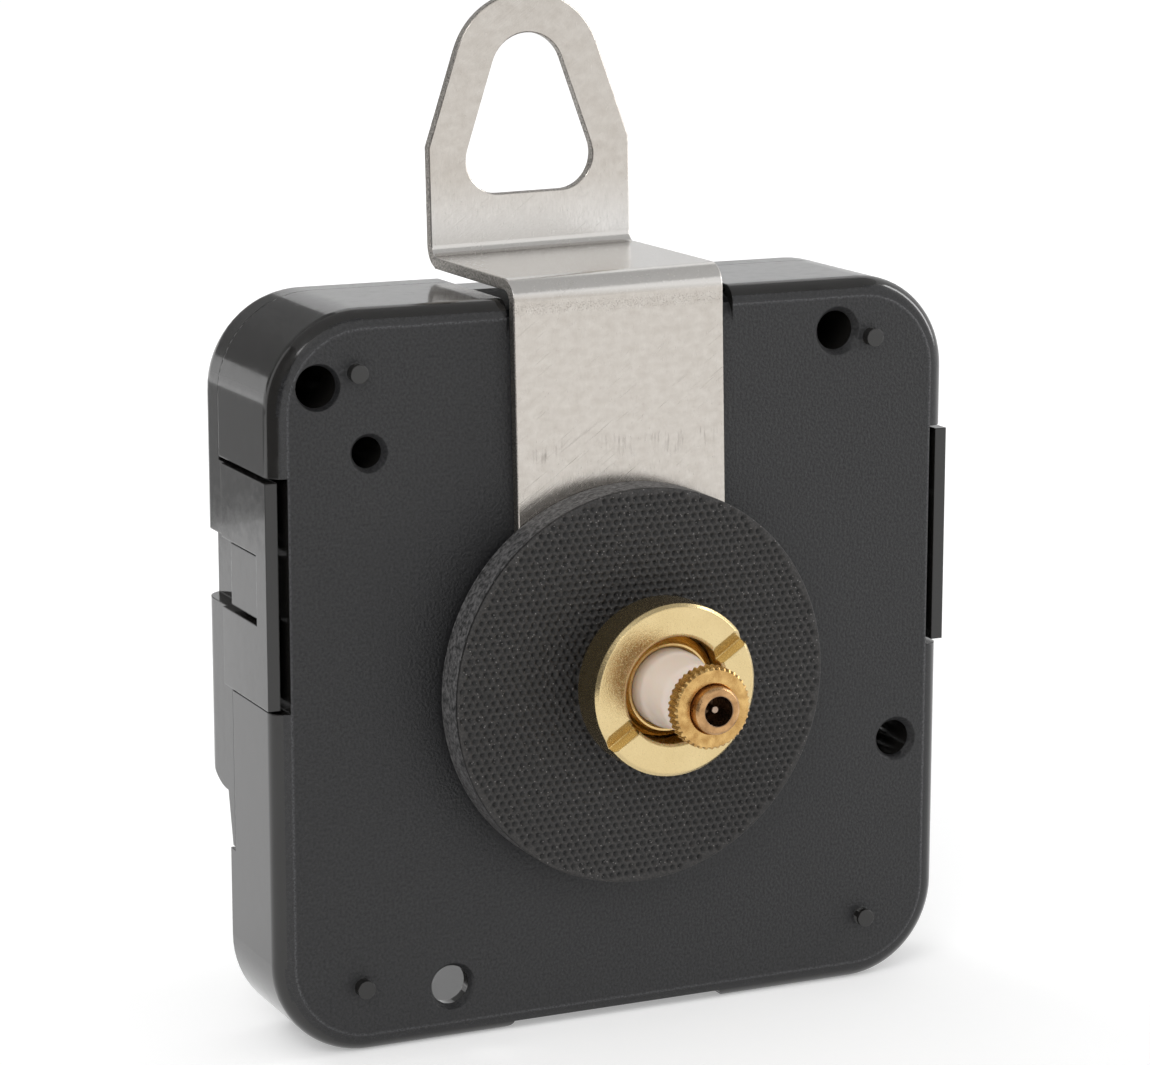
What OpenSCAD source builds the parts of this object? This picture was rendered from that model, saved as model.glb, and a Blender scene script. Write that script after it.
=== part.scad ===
// Quartz clock movement for one round cell, with a threaded centre bush and a wall hanger.
// The hand shafts lie along Y: the dial side is -Y, the battery side is +Y, and +Z is up.
// The origin is on the shaft axis, in the plane of the case's front face. Millimetres.

/* [Case] */
// Width of the case
case_w = 56; // [54:0.1:60]
// Height of the case
case_h = 56.3; // [55.5:0.1:60]
// How far the shaft sits below the middle of the case
shaft_drop = 0.15; // [0:0.05:0.5]
// Depth over the front face and the rear cover
case_depth = 15; // [14.6:0.1:17]
// Corner radius of the case, seen from the front
corner_r = 7.4; // [6:0.1:9]
// Rounding of the front edge
edge_r = 1.35; // [0.8:0.05:1.6]
// Rounding of the rear cover's edge
cover_edge_r = 2; // [1:0.1:2.4]
// Rounding of the rear cover's edge over the cell
low_edge_r = 4.5; // [4:0.1:4.8]
// Wall of the case and the cover
wall = 1.4; // [1.2:0.05:1.5]
// Depth at which the front case ends and the rear cover begins
seam_y = 11; // [10.5:0.1:11.5]
// Depth of the seam along the snap tabs
skirt_y = 8.8; // [8.4:0.1:9.5]
// Radius of the locating pins on the front face
nub_r = 0.7; // [0.5:0.05:1]
// Height of the locating pins
nub_h = 0.8; // [0.4:0.1:1.2]
// Distance from the case's side to a locating pin
nub_side = 6.75; // [6:0.05:7]
// Distance from the case's top to the upper locating pins
nub_top = 4.6; // [4:0.1:5]
// Distance from the case's bottom to the lower locating pins
nub_low = 5.2; // [4.5:0.1:6]

/* [Battery bay] */
// Diameter of the cell
cell_d = 14.5; // [14:0.1:14.6]
// Length of the cell
cell_l = 50.5; // [49:0.1:50.8]
// Room round the cell
cell_gap = 0.2; // [0.1:0.05:0.3]
// Wall between the battery bay and the wheels
bay_wall = 0.9; // [0.7:0.05:1]
// Thickness of the bay's floor
bay_floor_t = 2.5; // [2.4:0.1:2.6]
// Depth of the bay's end walls
bay_side_y = 9.9; // [9.5:0.1:10.5]
// Radius of the finger notch in the bay's floor
notch_r = 7; // [5:0.5:9]

/* [Snap tabs] */
// Thickness of a tab
tab_t = 0.95; // [0.8:0.05:1.05]
// How far a tab stands out from the case
tab_proud = 0.3; // [0.1:0.05:0.4]
// Height of a tab's upper edge
tab_top = 16; // [15:0.1:17]
// Height of a tab's lower edge
tab_low = -0.9; // [-2:0.1:0]
// Clearance round a tab in its pocket
tab_gap = 0.3; // [0.2:0.05:0.4]
// Upper edge of the window in a tab
window_top = 10.4; // [9:0.1:11]
// Lower edge of the window in a tab
window_low = 5.1; // [4:0.1:6]
// Depth of a tab's cross bar behind the front face
tab_bar_y = 2.4; // [1.8:0.1:3]

/* [Hanger] */
// Thickness of the hanger's sheet
hanger_t = 0.9; // [0.8:0.05:1]
// Width of the strap
hanger_w = 17.2; // [16:0.1:17.6]
// Width of the loop plate
loop_w = 16.9; // [16:0.1:17.6]
// Inner radius of the hanger's bends
bend_r = 0.8; // [0.6:0.1:1.2]
// Height of the strap's upper face above the case
strap_rise = 1.7; // [1.6:0.1:3]
// How far the loop plate's front face is inside the case's depth
loop_inset = 0.1; // [-1:0.1:0.5]
// Height of the loop's top above the strap
loop_rise = 19.8; // [18:0.1:22]
// Outer radius at the loop's top
loop_r = 6.25; // [5.5:0.05:7]
// Inner radius at the loop's top
eye_top_r = 3.1; // [2.6:0.05:3.6]
// Radius of the eye's lower corners
eye_low_r = 2.7; // [2:0.05:3]
// Half distance between the eye's lower corner centres
eye_low_x = 2.65; // [2:0.05:3]
// Height of the eye's lower edge above the strap
eye_rise = 4.4; // [4:0.1:6]
// Height of the loop plate's shoulders above the strap
shoulder_rise = 8.3; // [7:0.1:10]
// Lean of the hanger, which hangs loosely on the bush, in degrees
hanger_lean = 1.2; // [0:0.1:1.4]
// Width of the channel for the strap in the case
channel_w = 18.6; // [18.4:0.1:20]
// Depth of that channel
channel_d = 0.7; // [0.4:0.05:0.8]
// Rounding of the upper channel's front edge
channel_edge_r = 2.2; // [1.5:0.1:2.5]

/* [Bush, washer and nuts] */
// Outer radius of the threaded bush
bush_r = 4; // [3.9:0.05:4.1]
// Radius of the bush's bore
bush_bore_r = 3; // [2.95:0.01:3.1]
// Length of the bush in front of the case
bush_l = 8.4; // [7:0.1:9]
// Outer radius of the rubber washer
washer_r = 15.15; // [14:0.05:16]
// Radius of the washer's hole
washer_bore_r = 5; // [4.6:0.05:5.2]
// Thickness of the washer
washer_t = 3; // [2.5:0.1:3.2]
// Outer radius of the slotted nut
nut_r = 6.55; // [6:0.05:7]
// Thickness of the slotted nut
nut_t = 3.4; // [3:0.1:3.6]
// How far the slotted nut's face is in front of the bush's end
nut_lead = 1.25; // [0.5:0.05:1.5]
// Width of the nut's slot
slot_w = 1.45; // [1:0.05:1.8]
// Depth of the nut's slot
slot_d = 0.9; // [0.5:0.05:1.2]
// Angle of the slot above the horizontal, in degrees
slot_angle = 34; // [0:1:90]
// Outer radius of the knurled minute nut
minute_nut_r = 3.06; // [2.8:0.02:3.3]
// Thickness of the minute nut
minute_nut_t = 1.4; // [1.1:0.1:1.6]
// Number of ridges on the minute nut
knurls = 40; // [30:1:48]

/* [Hand shafts] */
// Radius of the minute tube
minute_r = 1.775; // [1.7:0.005:1.8]
// Distance from the front face to the minute tube's end
minute_l = 16.5; // [15.5:0.1:17.5]
// How far the minute tube stands out of its nut
minute_lead = 0.92; // [0.6:0.02:1.2]
// Radius of the hour tube inside the bush
hour_r = 2.95; // [2.9:0.01:2.98]
// Radius of the hour tube's neck, where the hand sits
hour_neck_r = 2.7; // [2.6:0.05:2.8]
// Distance from the front face to the hour tube's end
hour_l = 13.2; // [12:0.1:14]
// Radius of the seconds arbor's tip
tip_r = 0.28; // [0.25:0.01:0.35]
// Radius of the seconds arbor inside the minute tube
arbor_r = 0.46; // [0.4:0.01:0.5]
// Distance from the front face to the seconds arbor's end
arbor_l = 15.9; // [15:0.1:16.8]
// Radial clearance of a turning shaft
run_gap = 0.04; // [0.02:0.01:0.06]

/* [Gear train] */
// Distance from the shaft axis to the setting shaft
setting_a = 9; // [9:0.1:9.4]
// Distance from the shaft axis to the third wheel
third_a = 8.8; // [8.7:0.1:9]
// Distance from the shaft axis to the intermediate wheel
inter_a = 9; // [8.9:0.1:9.2]
// Distance from the intermediate wheel to the rotor
rotor_a = 7; // [6.8:0.1:7.2]
// Thickness of a wheel
wheel_t = 0.7; // [0.5:0.05:0.8]
// Radius of the setting knob
knob_r = 4.2; // [3.5:0.1:5]
// Thickness of the setting knob
knob_t = 2; // [1.5:0.1:2.5]
// Radius of the setting shaft
setting_r = 0.8; // [0.7:0.05:0.85]

/* [Motor and circuit] */
// Radius of the rotor's magnet
magnet_r = 2.8; // [2.4:0.1:2.9]
// Thickness of the stator and of the coil's core
iron_t = 1; // [0.8:0.05:1.1]
// Radius of the coil
coil_r = 3.3; // [3:0.1:3.4]
// Length of the coil between its flanges
coil_l = 14.6; // [13:0.2:15]
// Thickness of the circuit board
board_t = 0.8; // [0.6:0.1:1]
// Thickness of the contact strips
strip_t = 0.3; // [0.2:0.05:0.4]

/* [Hidden] */
$fn = 64;

// Small overlap that lets a cut run clear of a face
cut = 0.5;
// Gap between two pieces that only lie against each other
touch = 0.02;

// Outline of the case
half_w = case_w / 2;
top_z = case_h / 2 + shaft_drop;
low_z = -case_h / 2 + shaft_drop;
room_x = half_w - wall;
room_top = top_z - wall;

// Battery bay, from its floor up
bay_low = low_z + bay_floor_t;
bay_top = bay_low + cell_d + cell_gap;
bay_r = 2.4;
room_low = bay_top + bay_wall;
cell_z = (bay_low + bay_top) / 2;
cell_y = wall + cell_gap / 2 + cell_d / 2;

// Tabs and their pockets
tab_out = half_w + tab_proud;
tab_in = tab_out - tab_t;
pocket_x = tab_in - 0.7;
pocket_wall = 1;
pocket_low = tab_low - tab_gap;
pocket_top = tab_top + tab_gap;
skirt_low = room_low - 3.5;
cover_low = room_low + 0.6;
low_edge_y = case_depth - low_edge_r;
low_edge_z = cover_low + low_edge_r;
bay_wall_y = low_edge_y + 1.7;
step_y = skirt_y + 1.45;
step_low_y = skirt_y + 0.55;

// Hanger
strap_top = top_z + strap_rise;
strap_under = strap_top - hanger_t;
loop_y = case_depth - loop_inset;
loop_top = strap_top + loop_rise;
eye_low = strap_top + eye_rise;
shoulder_z = strap_top + shoulder_rise;
bend_out = bend_r + hanger_t;
plate_y = -touch - hanger_t;

channel_edge_z = top_z - channel_d - channel_edge_r;

// Stack in front of the case
washer_y = plate_y - touch - washer_t;
washer_drop = washer_bore_r - bush_r - touch;
nut_y = -bush_l - nut_lead;
minute_nut_y = -minute_l + minute_lead;
nut_bore_r = bush_r + 0.05;
mouth_r = 1.1;
mouth_l = 3.2;
tip_y = -minute_l + mouth_l + 0.7;

// Depths of the layers, from the front wall to the rear
flange_y = wall;
flange_t = 0.65;
hour_y = wall + 1.05;
motion_pinion_y = wall + 0.9;
minute_pinion_y = motion_pinion_y + 1.3;
motion_y = motion_pinion_y + 1.45;
minute_y = minute_pinion_y + 1.4;
third_y = minute_y + 1.5;
inter_y = third_y + 1.1;
seconds_y = inter_y + 1;
bridge_y = seconds_y + 2;
bridge_t = 0.9;
pivot_r = 0.4;

// Teeth: their height in modules, and a width that leaves backlash
addendum = 0.75;
dedendum = 1.1;
tooth_fill = 0.72;

// Tooth counts
minute_pinion_n = 10;
motion_n = 30;
motion_pinion_n = 8;
hour_n = 32;
seconds_pinion_n = 8;
third_n = 80;
third_pinion_n = 8;
minute_n = 48;
inter_pinion_n = 10;
seconds_n = 50;
rotor_pinion_n = 8;
inter_n = 48;

// Modules, from each pair's centre distance
function pair_m(a, n1, n2) = 2 * a / (n1 + n2);
motion_m = pair_m(setting_a, minute_pinion_n, motion_n);
hour_m = pair_m(setting_a, motion_pinion_n, hour_n);
third_m = pair_m(third_a, seconds_pinion_n, third_n);
minute_m = pair_m(third_a, third_pinion_n, minute_n);
seconds_m = pair_m(inter_a, inter_pinion_n, seconds_n);
rotor_m = pair_m(rotor_a, rotor_pinion_n, inter_n);

// Axes as [x, z], from the angle and the distance to the axis that each meshes with
function along(p, a, angle) = [p[0] + a * cos(angle), p[1] + a * sin(angle)];
// the motion wheel and the third wheel lie a small way above the bay's wall
motion_gap = 1.25;
third_gap = 1.75;
setting_z = room_low + motion_gap + motion_m * (motion_n / 2 + addendum);
third_z = room_low + third_gap + third_m * (third_n / 2 + addendum);
setting_angle = 180 - asin(setting_z / setting_a);
third_angle = asin(third_z / third_a);
inter_angle = 110;
rotor_angle = 150;
centre = [0, 0];
setting_p = along(centre, setting_a, setting_angle);
third_p = along(centre, third_a, third_angle);
inter_p = along(centre, inter_a, inter_angle);
rotor_p = along(inter_p, rotor_a, rotor_angle);

// Posts that carry the bridge, as [x, z]
post_r = 0.8;
pin_r = 0.5;
pin_l = 0.1;
posts = [[third_p[0] + 10.2, room_low + 2.9], [third_p[0] + 4, third_p[1] + 9.4],
    [inter_p[0], inter_p[1] + 7.74], [0, room_low + 1.1], [setting_p[0] - 4.34, room_low + 1.15]];

// Outline of the bridge round its posts and the rotor's pivot
bridge_low = room_low + 0.15;
bridge_edge = 2;
bridge_left = posts[4][0] - bridge_edge + 0.2;
bridge_mid = rotor_p[0] - bridge_edge - 0.5;
bridge_outline = [[bridge_left, bridge_low], [posts[0][0] + bridge_edge, bridge_low],
    [posts[0][0] + bridge_edge, posts[0][1] + 1.5],
    [posts[1][0] + bridge_edge, posts[1][1] + bridge_edge],
    [posts[2][0] + bridge_edge, posts[2][1] + bridge_edge],
    [posts[2][0] - bridge_edge, posts[2][1] + bridge_edge],
    [bridge_mid, rotor_p[1] + 2.2], [bridge_mid, 0], [bridge_left, room_low + 4.9]];

// Holes through the bosses behind the front face, as [x, z, mouth radius, bore radius]
hole_depth = 7.9;
hole_wall = 0.9;
mouth_d = 0.55;
boss_holes = [[-half_w + 3.8, top_z - 5.5, 1.75, 1.55], [-half_w + 7.7, top_z - 10.6, 1.48, 1.15],
    [half_w - 9.65, top_z - 4, 1.9, 1.5], [half_w - 3.95, room_low + 1.3, 1.8, 1.4]];
bay_hole = [-half_w + 14, low_z + 4.25, 1.85, 1.5];

// Motor
coil_x = -half_w + 7;
flange_r = coil_r + 0.3;
bobbin_flange_t = 1;
core_w = 3;
core_half_w = 1.7;
core_reach = coil_l / 2 + bobbin_flange_t + core_half_w + 0.2;
coil_z = room_low + 0.6 + core_half_w + core_reach;
stator_y = minute_pinion_y + 1.3;
core_y = stator_y + iron_t;
coil_axis_y = core_y + iron_t / 2;
core_ends = [[coil_x, coil_z + core_reach], [coil_x, coil_z - core_reach]];
stator_hole_r = magnet_r + 0.4;
magnet_y = stator_y - 1;
magnet_l = iron_t + 2;
hub_r = 0.78;
rotor_arbor_r = 0.25;
rotor_pinion_y = inter_y - 0.2;

// Circuit board, as [x, z] corners and pins, with an arm that reaches to the coil
board_y = 4;
board_low = [4.6, 11.8];
board_high = [room_x - 1.6, 21];
arm_low = [-17.2, board_high[1] - 3];
board_pins = [[board_low[0] + 2.4, board_high[1] - 2], [board_high[0] - 2.8, board_low[1] + 2],
    [arm_low[0] + 9.2, board_high[1] - 1.5]];

// Ends of the coil's wire: angle round the coil, and place along the arm
lead_r = 0.13;
leads = [[28, 0.7], [48, 1.6]];
crystal_r = 1;
crystal_l = 6;
crystal_p = [board_high[0] - 10.4, board_high[1] - 3.2];
chip_p = [crystal_p[0] - 3.6, crystal_p[1] - 2.8];
chip_r = 2.2;
chip_h = 1.1;

// Contacts
contact_w = 9;
contact_h = 9;
contact_y0 = cell_y - contact_w / 2;
contact_y1 = cell_y + contact_w / 2 - 2.4;
leaf_w = 4;
leaf_top = 3.6;
leaf_reach = 1.8;
leaf_end = 0.6;
tail_w = 1;
tail_y = skirt_y + 0.4;
rail_y = bridge_y + bridge_t + 0.15;
rail_z = cover_low + 2.4;
riser_x = board_high[0] - 3.1;
cross_x = coil_x - 0.4;
strip_x = room_x - strip_t - touch;

// Moves to an axis at p = [x, z] and depth y, with local +Z along the row's +Y
module at(p, y) {
    translate([p[0], y, p[1]])
        rotate([-90, 0, 0])
            children();
}

// A box from its low corner to its high corner
module box(low, high) {
    translate(low)
        cube([for (i = [0:2]) high[i] - low[i]]);
}

// A flat plate with an outline of [x, z] points, from depth y0 to y1
module plate(points, y0, y1) {
    at(centre, y0)
        linear_extrude(y1 - y0)
            polygon([for (p = points) [p[0], -p[1]]]);
}

// One corner of the case, with its outer edge rounded at the near end
module corner_post(r, edge, depth) {
    cylinder(r = r - edge, h = depth);
    translate([0, 0, edge])
        cylinder(r = r, h = depth - edge);
    translate([0, 0, edge])
        rotate_extrude()
            translate([r - edge, 0])
                circle(r = edge, $fn = 32);
}

// A block with round corners and a rounded near edge, centred on local Z
module rounded_block(w, h, r, edge, depth) {
    for (sx = [-1, 1], sy = [-1, 1])
        translate([sx * (w / 2 - r), sy * (h / 2 - r), 0])
            corner_post(r, edge, depth);
    translate([-w / 2 + r, -h / 2 + edge, 0])
        cube([w - 2 * r, h - 2 * edge, depth]);
    translate([-w / 2 + edge, -h / 2 + r, 0])
        cube([w - 2 * edge, h - 2 * r, depth]);
    translate([-w / 2 + r, -h / 2, edge])
        cube([w - 2 * r, h, depth - edge]);
    translate([-w / 2, -h / 2 + r, edge])
        cube([w, h - 2 * r, depth - edge]);
    for (s = [-1, 1]) {
        translate([-w / 2 + r, s * (h / 2 - edge), edge])
            rotate([0, 90, 0])
                cylinder(r = edge, h = w - 2 * r, $fn = 32);
        translate([s * (w / 2 - edge), h / 2 - r, edge])
            rotate([90, 0, 0])
                cylinder(r = edge, h = h - 2 * r, $fn = 32);
    }
}

// A block with round corners, used for rooms cut into the case
module plain_block(w, h, r, depth) {
    for (sx = [-1, 1], sy = [-1, 1])
        translate([sx * (w / 2 - r), sy * (h / 2 - r), 0])
            cylinder(r = r, h = depth);
    translate([-w / 2 + r, -h / 2, 0])
        cube([w - 2 * r, h, depth]);
    translate([-w / 2, -h / 2 + r, 0])
        cube([w, h - 2 * r, depth]);
}

function ring_point(r, angle) = [r * cos(angle), r * sin(angle)];
function gear_points(n, m) = [
    for (i = [0:n - 1])
        let (a = 360 * i / n, half = 90 / n * tooth_fill, r = m * n / 2)
        for (q = [[r - dedendum * m, -half * 1.35], [r, -half], [r + addendum * m, -half * 0.42],
            [r + addendum * m, half * 0.42], [r, half], [r - dedendum * m, half * 1.35]])
            ring_point(q[0], a + q[1])
];

// A gear from local z = 0, with one tooth turned to the row angle
module gear(n, m, t, angle) {
    rotate([0, 0, -angle])
        linear_extrude(t)
            polygon(gear_points(n, m));
}

// Angle that puts a gap, not a tooth, towards the row angle
function gap_to(n, angle) = angle + 180 / n;

// A shaft from depth y0 to y1 on the axis p
module shaft(p, r, y0, y1) {
    at(p, y0)
        cylinder(r = r, h = y1 - y0);
}

// Channel across the top or the bottom edge of the case for the strap
module strap_channel(side, z) {
    difference() {
        box([-channel_w / 2, -cut, min(z, z - side * channel_d)],
            [channel_w / 2, case_depth + cut, max(z, z - side * channel_d)]);
        for (s = [-1, 1])
            translate([s * channel_w / 2, -2 * cut, z - side * channel_d])
                rotate([-90, 0, 0])
                    cylinder(r = channel_d * 0.7, h = case_depth + 4 * cut, $fn = 32);
    }
    box([-channel_w / 2 + channel_d * 0.7, -cut, min(z + side * cut, z - side * channel_d)],
        [channel_w / 2 - channel_d * 0.7, case_depth + cut, max(z + side * cut, z - side * channel_d)]);
}

module front_case() {
    color("#2b2b2d") {
        difference() {
            union() {
                difference() {
                    translate([0, 0, shaft_drop])
                        rotate([-90, 0, 0])
                            rounded_block(case_w, case_h, corner_r, edge_r, seam_y);
                    // room for the wheels, and the battery bay
                    movement_room(wall, case_depth);
                    at([0, cell_z], wall)
                        plain_block(2 * room_x, bay_top - bay_low, bay_r, case_depth);
                    // the bay's end walls and the walls behind the tabs are lower
                    for (s = [-1, 1]) {
                        box([s > 0 ? pocket_x - pocket_wall : -half_w - 1, skirt_y, skirt_low - tab_gap],
                            [s > 0 ? half_w + 1 : pocket_wall - pocket_x, case_depth, tab_top + tab_gap]);
                        box([s > 0 ? room_x - 4 : -half_w - 1, bay_side_y, low_z - 1],
                            [s > 0 ? half_w + 1 : 4 - room_x, case_depth, skirt_low]);
                    }
                }
                // bosses round the holes
                for (h = boss_holes)
                    intersection() {
                        shaft([h[0], h[1]], h[3] + hole_wall, wall - touch, hole_depth);
                        box([-half_w + touch, 0, bay_top], [half_w - touch, seam_y, top_z - touch]);
                    }
                // posts and bearings
                for (p = posts) {
                    shaft(p, post_r, wall - touch, bridge_y - touch);
                    shaft(p, pin_r, wall, bridge_y + bridge_t + pin_l);
                }
                shaft(third_p, 0.85, wall - touch, minute_y - 0.6);
                shaft(inter_p, 0.85, wall - touch, third_y - 0.15);
                shaft(rotor_p, 1, wall - touch, magnet_y - 0.4);
                for (p = core_ends) {
                    shaft(p, 1.5, wall - touch, stator_y - touch);
                    shaft(p, 0.8, wall, core_y + iron_t + 0.3);
                }
                for (p = board_pins) {
                    shaft(p, 1.3, wall - touch, board_y - touch);
                    shaft(p, 0.6, wall, board_y + board_t + 0.3);
                }
                // wall between the bay and the wheels, thicker where it meets the cover
                box([-room_x + 1, seam_y - touch, bay_top], [room_x - 1, bay_wall_y, room_low]);
                box([-room_x + 1, bridge_y + bridge_t + pin_l, bay_top],
                    [room_x - 1, bay_wall_y, cover_low - touch]);
                // inner walls of the tab pockets
                for (s = [-1, 1])
                    box([s > 0 ? pocket_x - pocket_wall : -pocket_x, wall - touch, pocket_low - pocket_wall],
                        [s > 0 ? pocket_x : pocket_wall - pocket_x, skirt_y, pocket_top + pocket_wall]);
                // locating pins
                for (x = [nub_side - half_w, half_w - nub_side], z = [top_z - nub_top, low_z + nub_low])
                    shaft([x, z], nub_r, -nub_h, wall / 2);
            }
            // pockets for the tabs, open to the front and the side
            for (s = [-1, 1])
                box([s > 0 ? pocket_x : -half_w - 1, -cut, pocket_low],
                    [s > 0 ? half_w + 1 : -pocket_x, skirt_y + cut, pocket_top]);
            strap_channel(1, top_z);
            strap_channel(-1, low_z);
            // rounded front edge of the upper channel
            difference() {
                box([-channel_w / 2, -cut, channel_edge_z], [channel_w / 2, channel_edge_r, top_z]);
                translate([-channel_w / 2 - cut, channel_edge_r, channel_edge_z])
                    rotate([0, 90, 0])
                        cylinder(r = channel_edge_r, h = channel_w + 2 * cut);
            }
            // finger notch in the floor of the bay
            translate([0, seam_y + notch_r - 3, low_z - 1])
                cylinder(r = notch_r, h = wall + 2);
            // hole for the bush, and the setting shaft's front pivot
            shaft(centre, bush_r + touch, -cut, wall + cut);
            shaft(setting_p, 0.5 + run_gap, 0.5, wall + cut);
            // pivots in the posts
            shaft(third_p, pivot_r + run_gap, minute_y - 2.2, minute_y);
            shaft(inter_p, pivot_r + run_gap, third_y - 1.9, third_y);
            shaft(rotor_p, rotor_arbor_r + run_gap, magnet_y - 1.6, magnet_y);
            // holes with a tapered mouth
            for (h = boss_holes) {
                shaft([h[0], h[1]], h[3], -cut, hole_depth + cut);
                at([h[0], h[1]], 0)
                    cylinder(r1 = h[2], r2 = h[3], h = mouth_d);
            }
            shaft([bay_hole[0], bay_hole[1]], bay_hole[3], -cut, wall + cut);
            at([bay_hole[0], bay_hole[1]], 0)
                cylinder(r1 = bay_hole[2], r2 = bay_hole[3], h = mouth_d);
            // slots for the contact tails
            for (s = [-1, 1])
                box([s > 0 ? strip_x - 0.2 : -room_x - 0.01, tail_y - 0.2, bay_top - cut],
                    [s > 0 ? room_x + 0.01 : 0.2 - strip_x, seam_y + cut, room_low + cut]);
        }
        // latch blocks in the tabs' windows
        for (s = [-1, 1])
            box([s > 0 ? pocket_x - touch : -half_w + 0.05, tab_bar_y + tab_gap, window_low + tab_gap],
                [s > 0 ? half_w - 0.05 : touch - pocket_x, skirt_y, window_top - tab_gap]);
    }
}

// Room above the battery bay
module movement_room(y0, y1) {
    r = corner_r - wall;
    at([0, (room_top + room_low) / 2], y0)
        intersection() {
            translate([0, (corner_r - wall) / 2, 0])
                plain_block(2 * room_x, room_top - room_low + corner_r - wall, r, y1 - y0);
            translate([-room_x, -(room_top - room_low) / 2, 0])
                cube([2 * room_x, room_top - room_low, y1 - y0]);
        }
}

module rear_cover() {
    cover_d = case_depth - touch;
    color("#2a2a2c")
        difference() {
            union() {
                intersection() {
                    translate([0, case_depth, shaft_drop])
                        rotate([90, 0, 0])
                            rounded_block(case_w, case_h, corner_r, cover_edge_r, cover_d - seam_y);
                    box([-half_w - 1, seam_y, cover_low], [half_w + 1, case_depth + 1, top_z + 1]);
                }
                intersection() {
                    translate([0, case_depth, shaft_drop])
                        rotate([90, 0, 0])
                            rounded_block(case_w, case_h, corner_r, cover_edge_r, cover_d - skirt_y);
                    for (s = [-1, 1])
                        box([s > 0 ? room_x + touch : -half_w - 1, skirt_y, skirt_low],
                            [s > 0 ? half_w + 1 : -room_x - touch, case_depth + 1, tab_top]);
                }
                // tabs
                for (s = [-1, 1])
                    box([s > 0 ? tab_in : -tab_out, 0.3, tab_low],
                        [s > 0 ? tab_out : -tab_in, skirt_y + 1, tab_top]);
            }
            // inside of the cover, with a curved wall over the cell
            difference() {
                movement_room(seam_y - cut, case_depth - wall);
                difference() {
                    box([-half_w, bridge_y + bridge_t + 2 * pin_l, room_low - cut],
                        [half_w, case_depth, low_edge_z]);
                    translate([-half_w - cut, low_edge_y, low_edge_z])
                        rotate([0, 90, 0])
                            cylinder(r = low_edge_r - wall, h = case_w + 2 * cut);
                }
            }
            box([-room_x - touch, skirt_y - cut, skirt_low - cut],
                [room_x + touch, case_depth - wall, tab_top]);
            // side walls stepped back at the ends of the cell
            for (x = [-half_w - 1, room_x])
                translate([x, 0, 0])
                    rotate([90, 0, 90])
                        linear_extrude(wall + 1)
                            polygon([[step_y, cover_low], [case_depth + 1, cover_low],
                                [case_depth + 1, skirt_low - 1], [step_low_y, skirt_low - 1],
                                [step_low_y, skirt_low]]);
            // windows round the latch blocks, open to the rear
            for (s = [-1, 1])
                box([s > 0 ? tab_in - cut : -half_w - 1, tab_bar_y, window_low],
                    [s > 0 ? half_w + 1 : cut - tab_in, case_depth + 1, window_top]);
            // rounded lower edge over the cell
            difference() {
                box([-half_w - 1, low_edge_y, cover_low - cut], [half_w + 1, case_depth + 1, low_edge_z]);
                translate([-half_w - 2, low_edge_y, low_edge_z])
                    rotate([0, 90, 0])
                        cylinder(r = low_edge_r, h = case_w + 4);
            }
            strap_channel(1, top_z);
            // recess and hole for the setting knob
            shaft(setting_p, knob_r + 0.6, case_depth - 0.7, case_depth + 1);
            shaft(setting_p, setting_r + 0.1, case_depth - 2 * wall, case_depth + 1);
        }
}

// Points where the outer tangent of two circles touches them: [on the first, on the second]
function tangent(c1, r1, c2, r2, side) =
    let (d = c2 - c1, base = atan2(d[1], d[0]), a = base + side * acos((r1 - r2) / norm(d)))
    [c1 + ring_point(r1, a), c2 + ring_point(r2, a)];

module hanger() {
    eye_top = [0, loop_top - loop_r];
    eye_right = [eye_low_x, eye_low + eye_low_r];
    eye_left = [-eye_low_x, eye_low + eye_low_r];
    side_right = tangent(eye_top, eye_top_r, eye_right, eye_low_r, 1);
    side_left = tangent(eye_top, eye_top_r, eye_left, eye_low_r, -1);
    shoulder = tangent(eye_top, loop_r, [loop_w / 2, shoulder_z], 0.01, 1);
    rear_y = loop_y - bend_r;
    color("#c9c4bd")
        rotate([0, -hanger_lean, 0]) {
            // strap in front, with a round lower end and a hole for the bush
            difference() {
                union() {
                    shaft(centre, hanger_w / 2, plate_y, -touch);
                    box([-hanger_w / 2, plate_y, 0], [hanger_w / 2, -touch, strap_top - bend_out]);
                }
                shaft(centre, bush_r + 0.3, plate_y - cut, cut);
            }
            // front bend, strap over the top, and rear bend
            bend([plate_y + bend_out, strap_top - bend_out], hanger_w, -1, 1);
            box([-hanger_w / 2, plate_y + bend_out, strap_under], [hanger_w / 2, rear_y, strap_top]);
            bend([rear_y, strap_top + bend_r], loop_w, 1, -1);
            // loop plate with its eye
            difference() {
                union() {
                    box([-loop_w / 2, loop_y, strap_top + bend_r],
                        [loop_w / 2, loop_y + hanger_t, shoulder_z]);
                    shaft(eye_top, loop_r, loop_y, loop_y + hanger_t);
                    plate([[-loop_w / 2, shoulder_z], [-shoulder[0][0], shoulder[0][1]], shoulder[0],
                        [loop_w / 2, shoulder_z]], loop_y, loop_y + hanger_t);
                }
                shaft(eye_top, eye_top_r, loop_y - cut, loop_y + hanger_t + cut);
                shaft(eye_right, eye_low_r, loop_y - cut, loop_y + hanger_t + cut);
                shaft(eye_left, eye_low_r, loop_y - cut, loop_y + hanger_t + cut);
                plate([side_left[0], side_right[0], side_right[1], [eye_low_x, eye_low],
                    [-eye_low_x, eye_low], side_left[1]], loop_y - cut, loop_y + hanger_t + cut);
            }
        }
}

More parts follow.
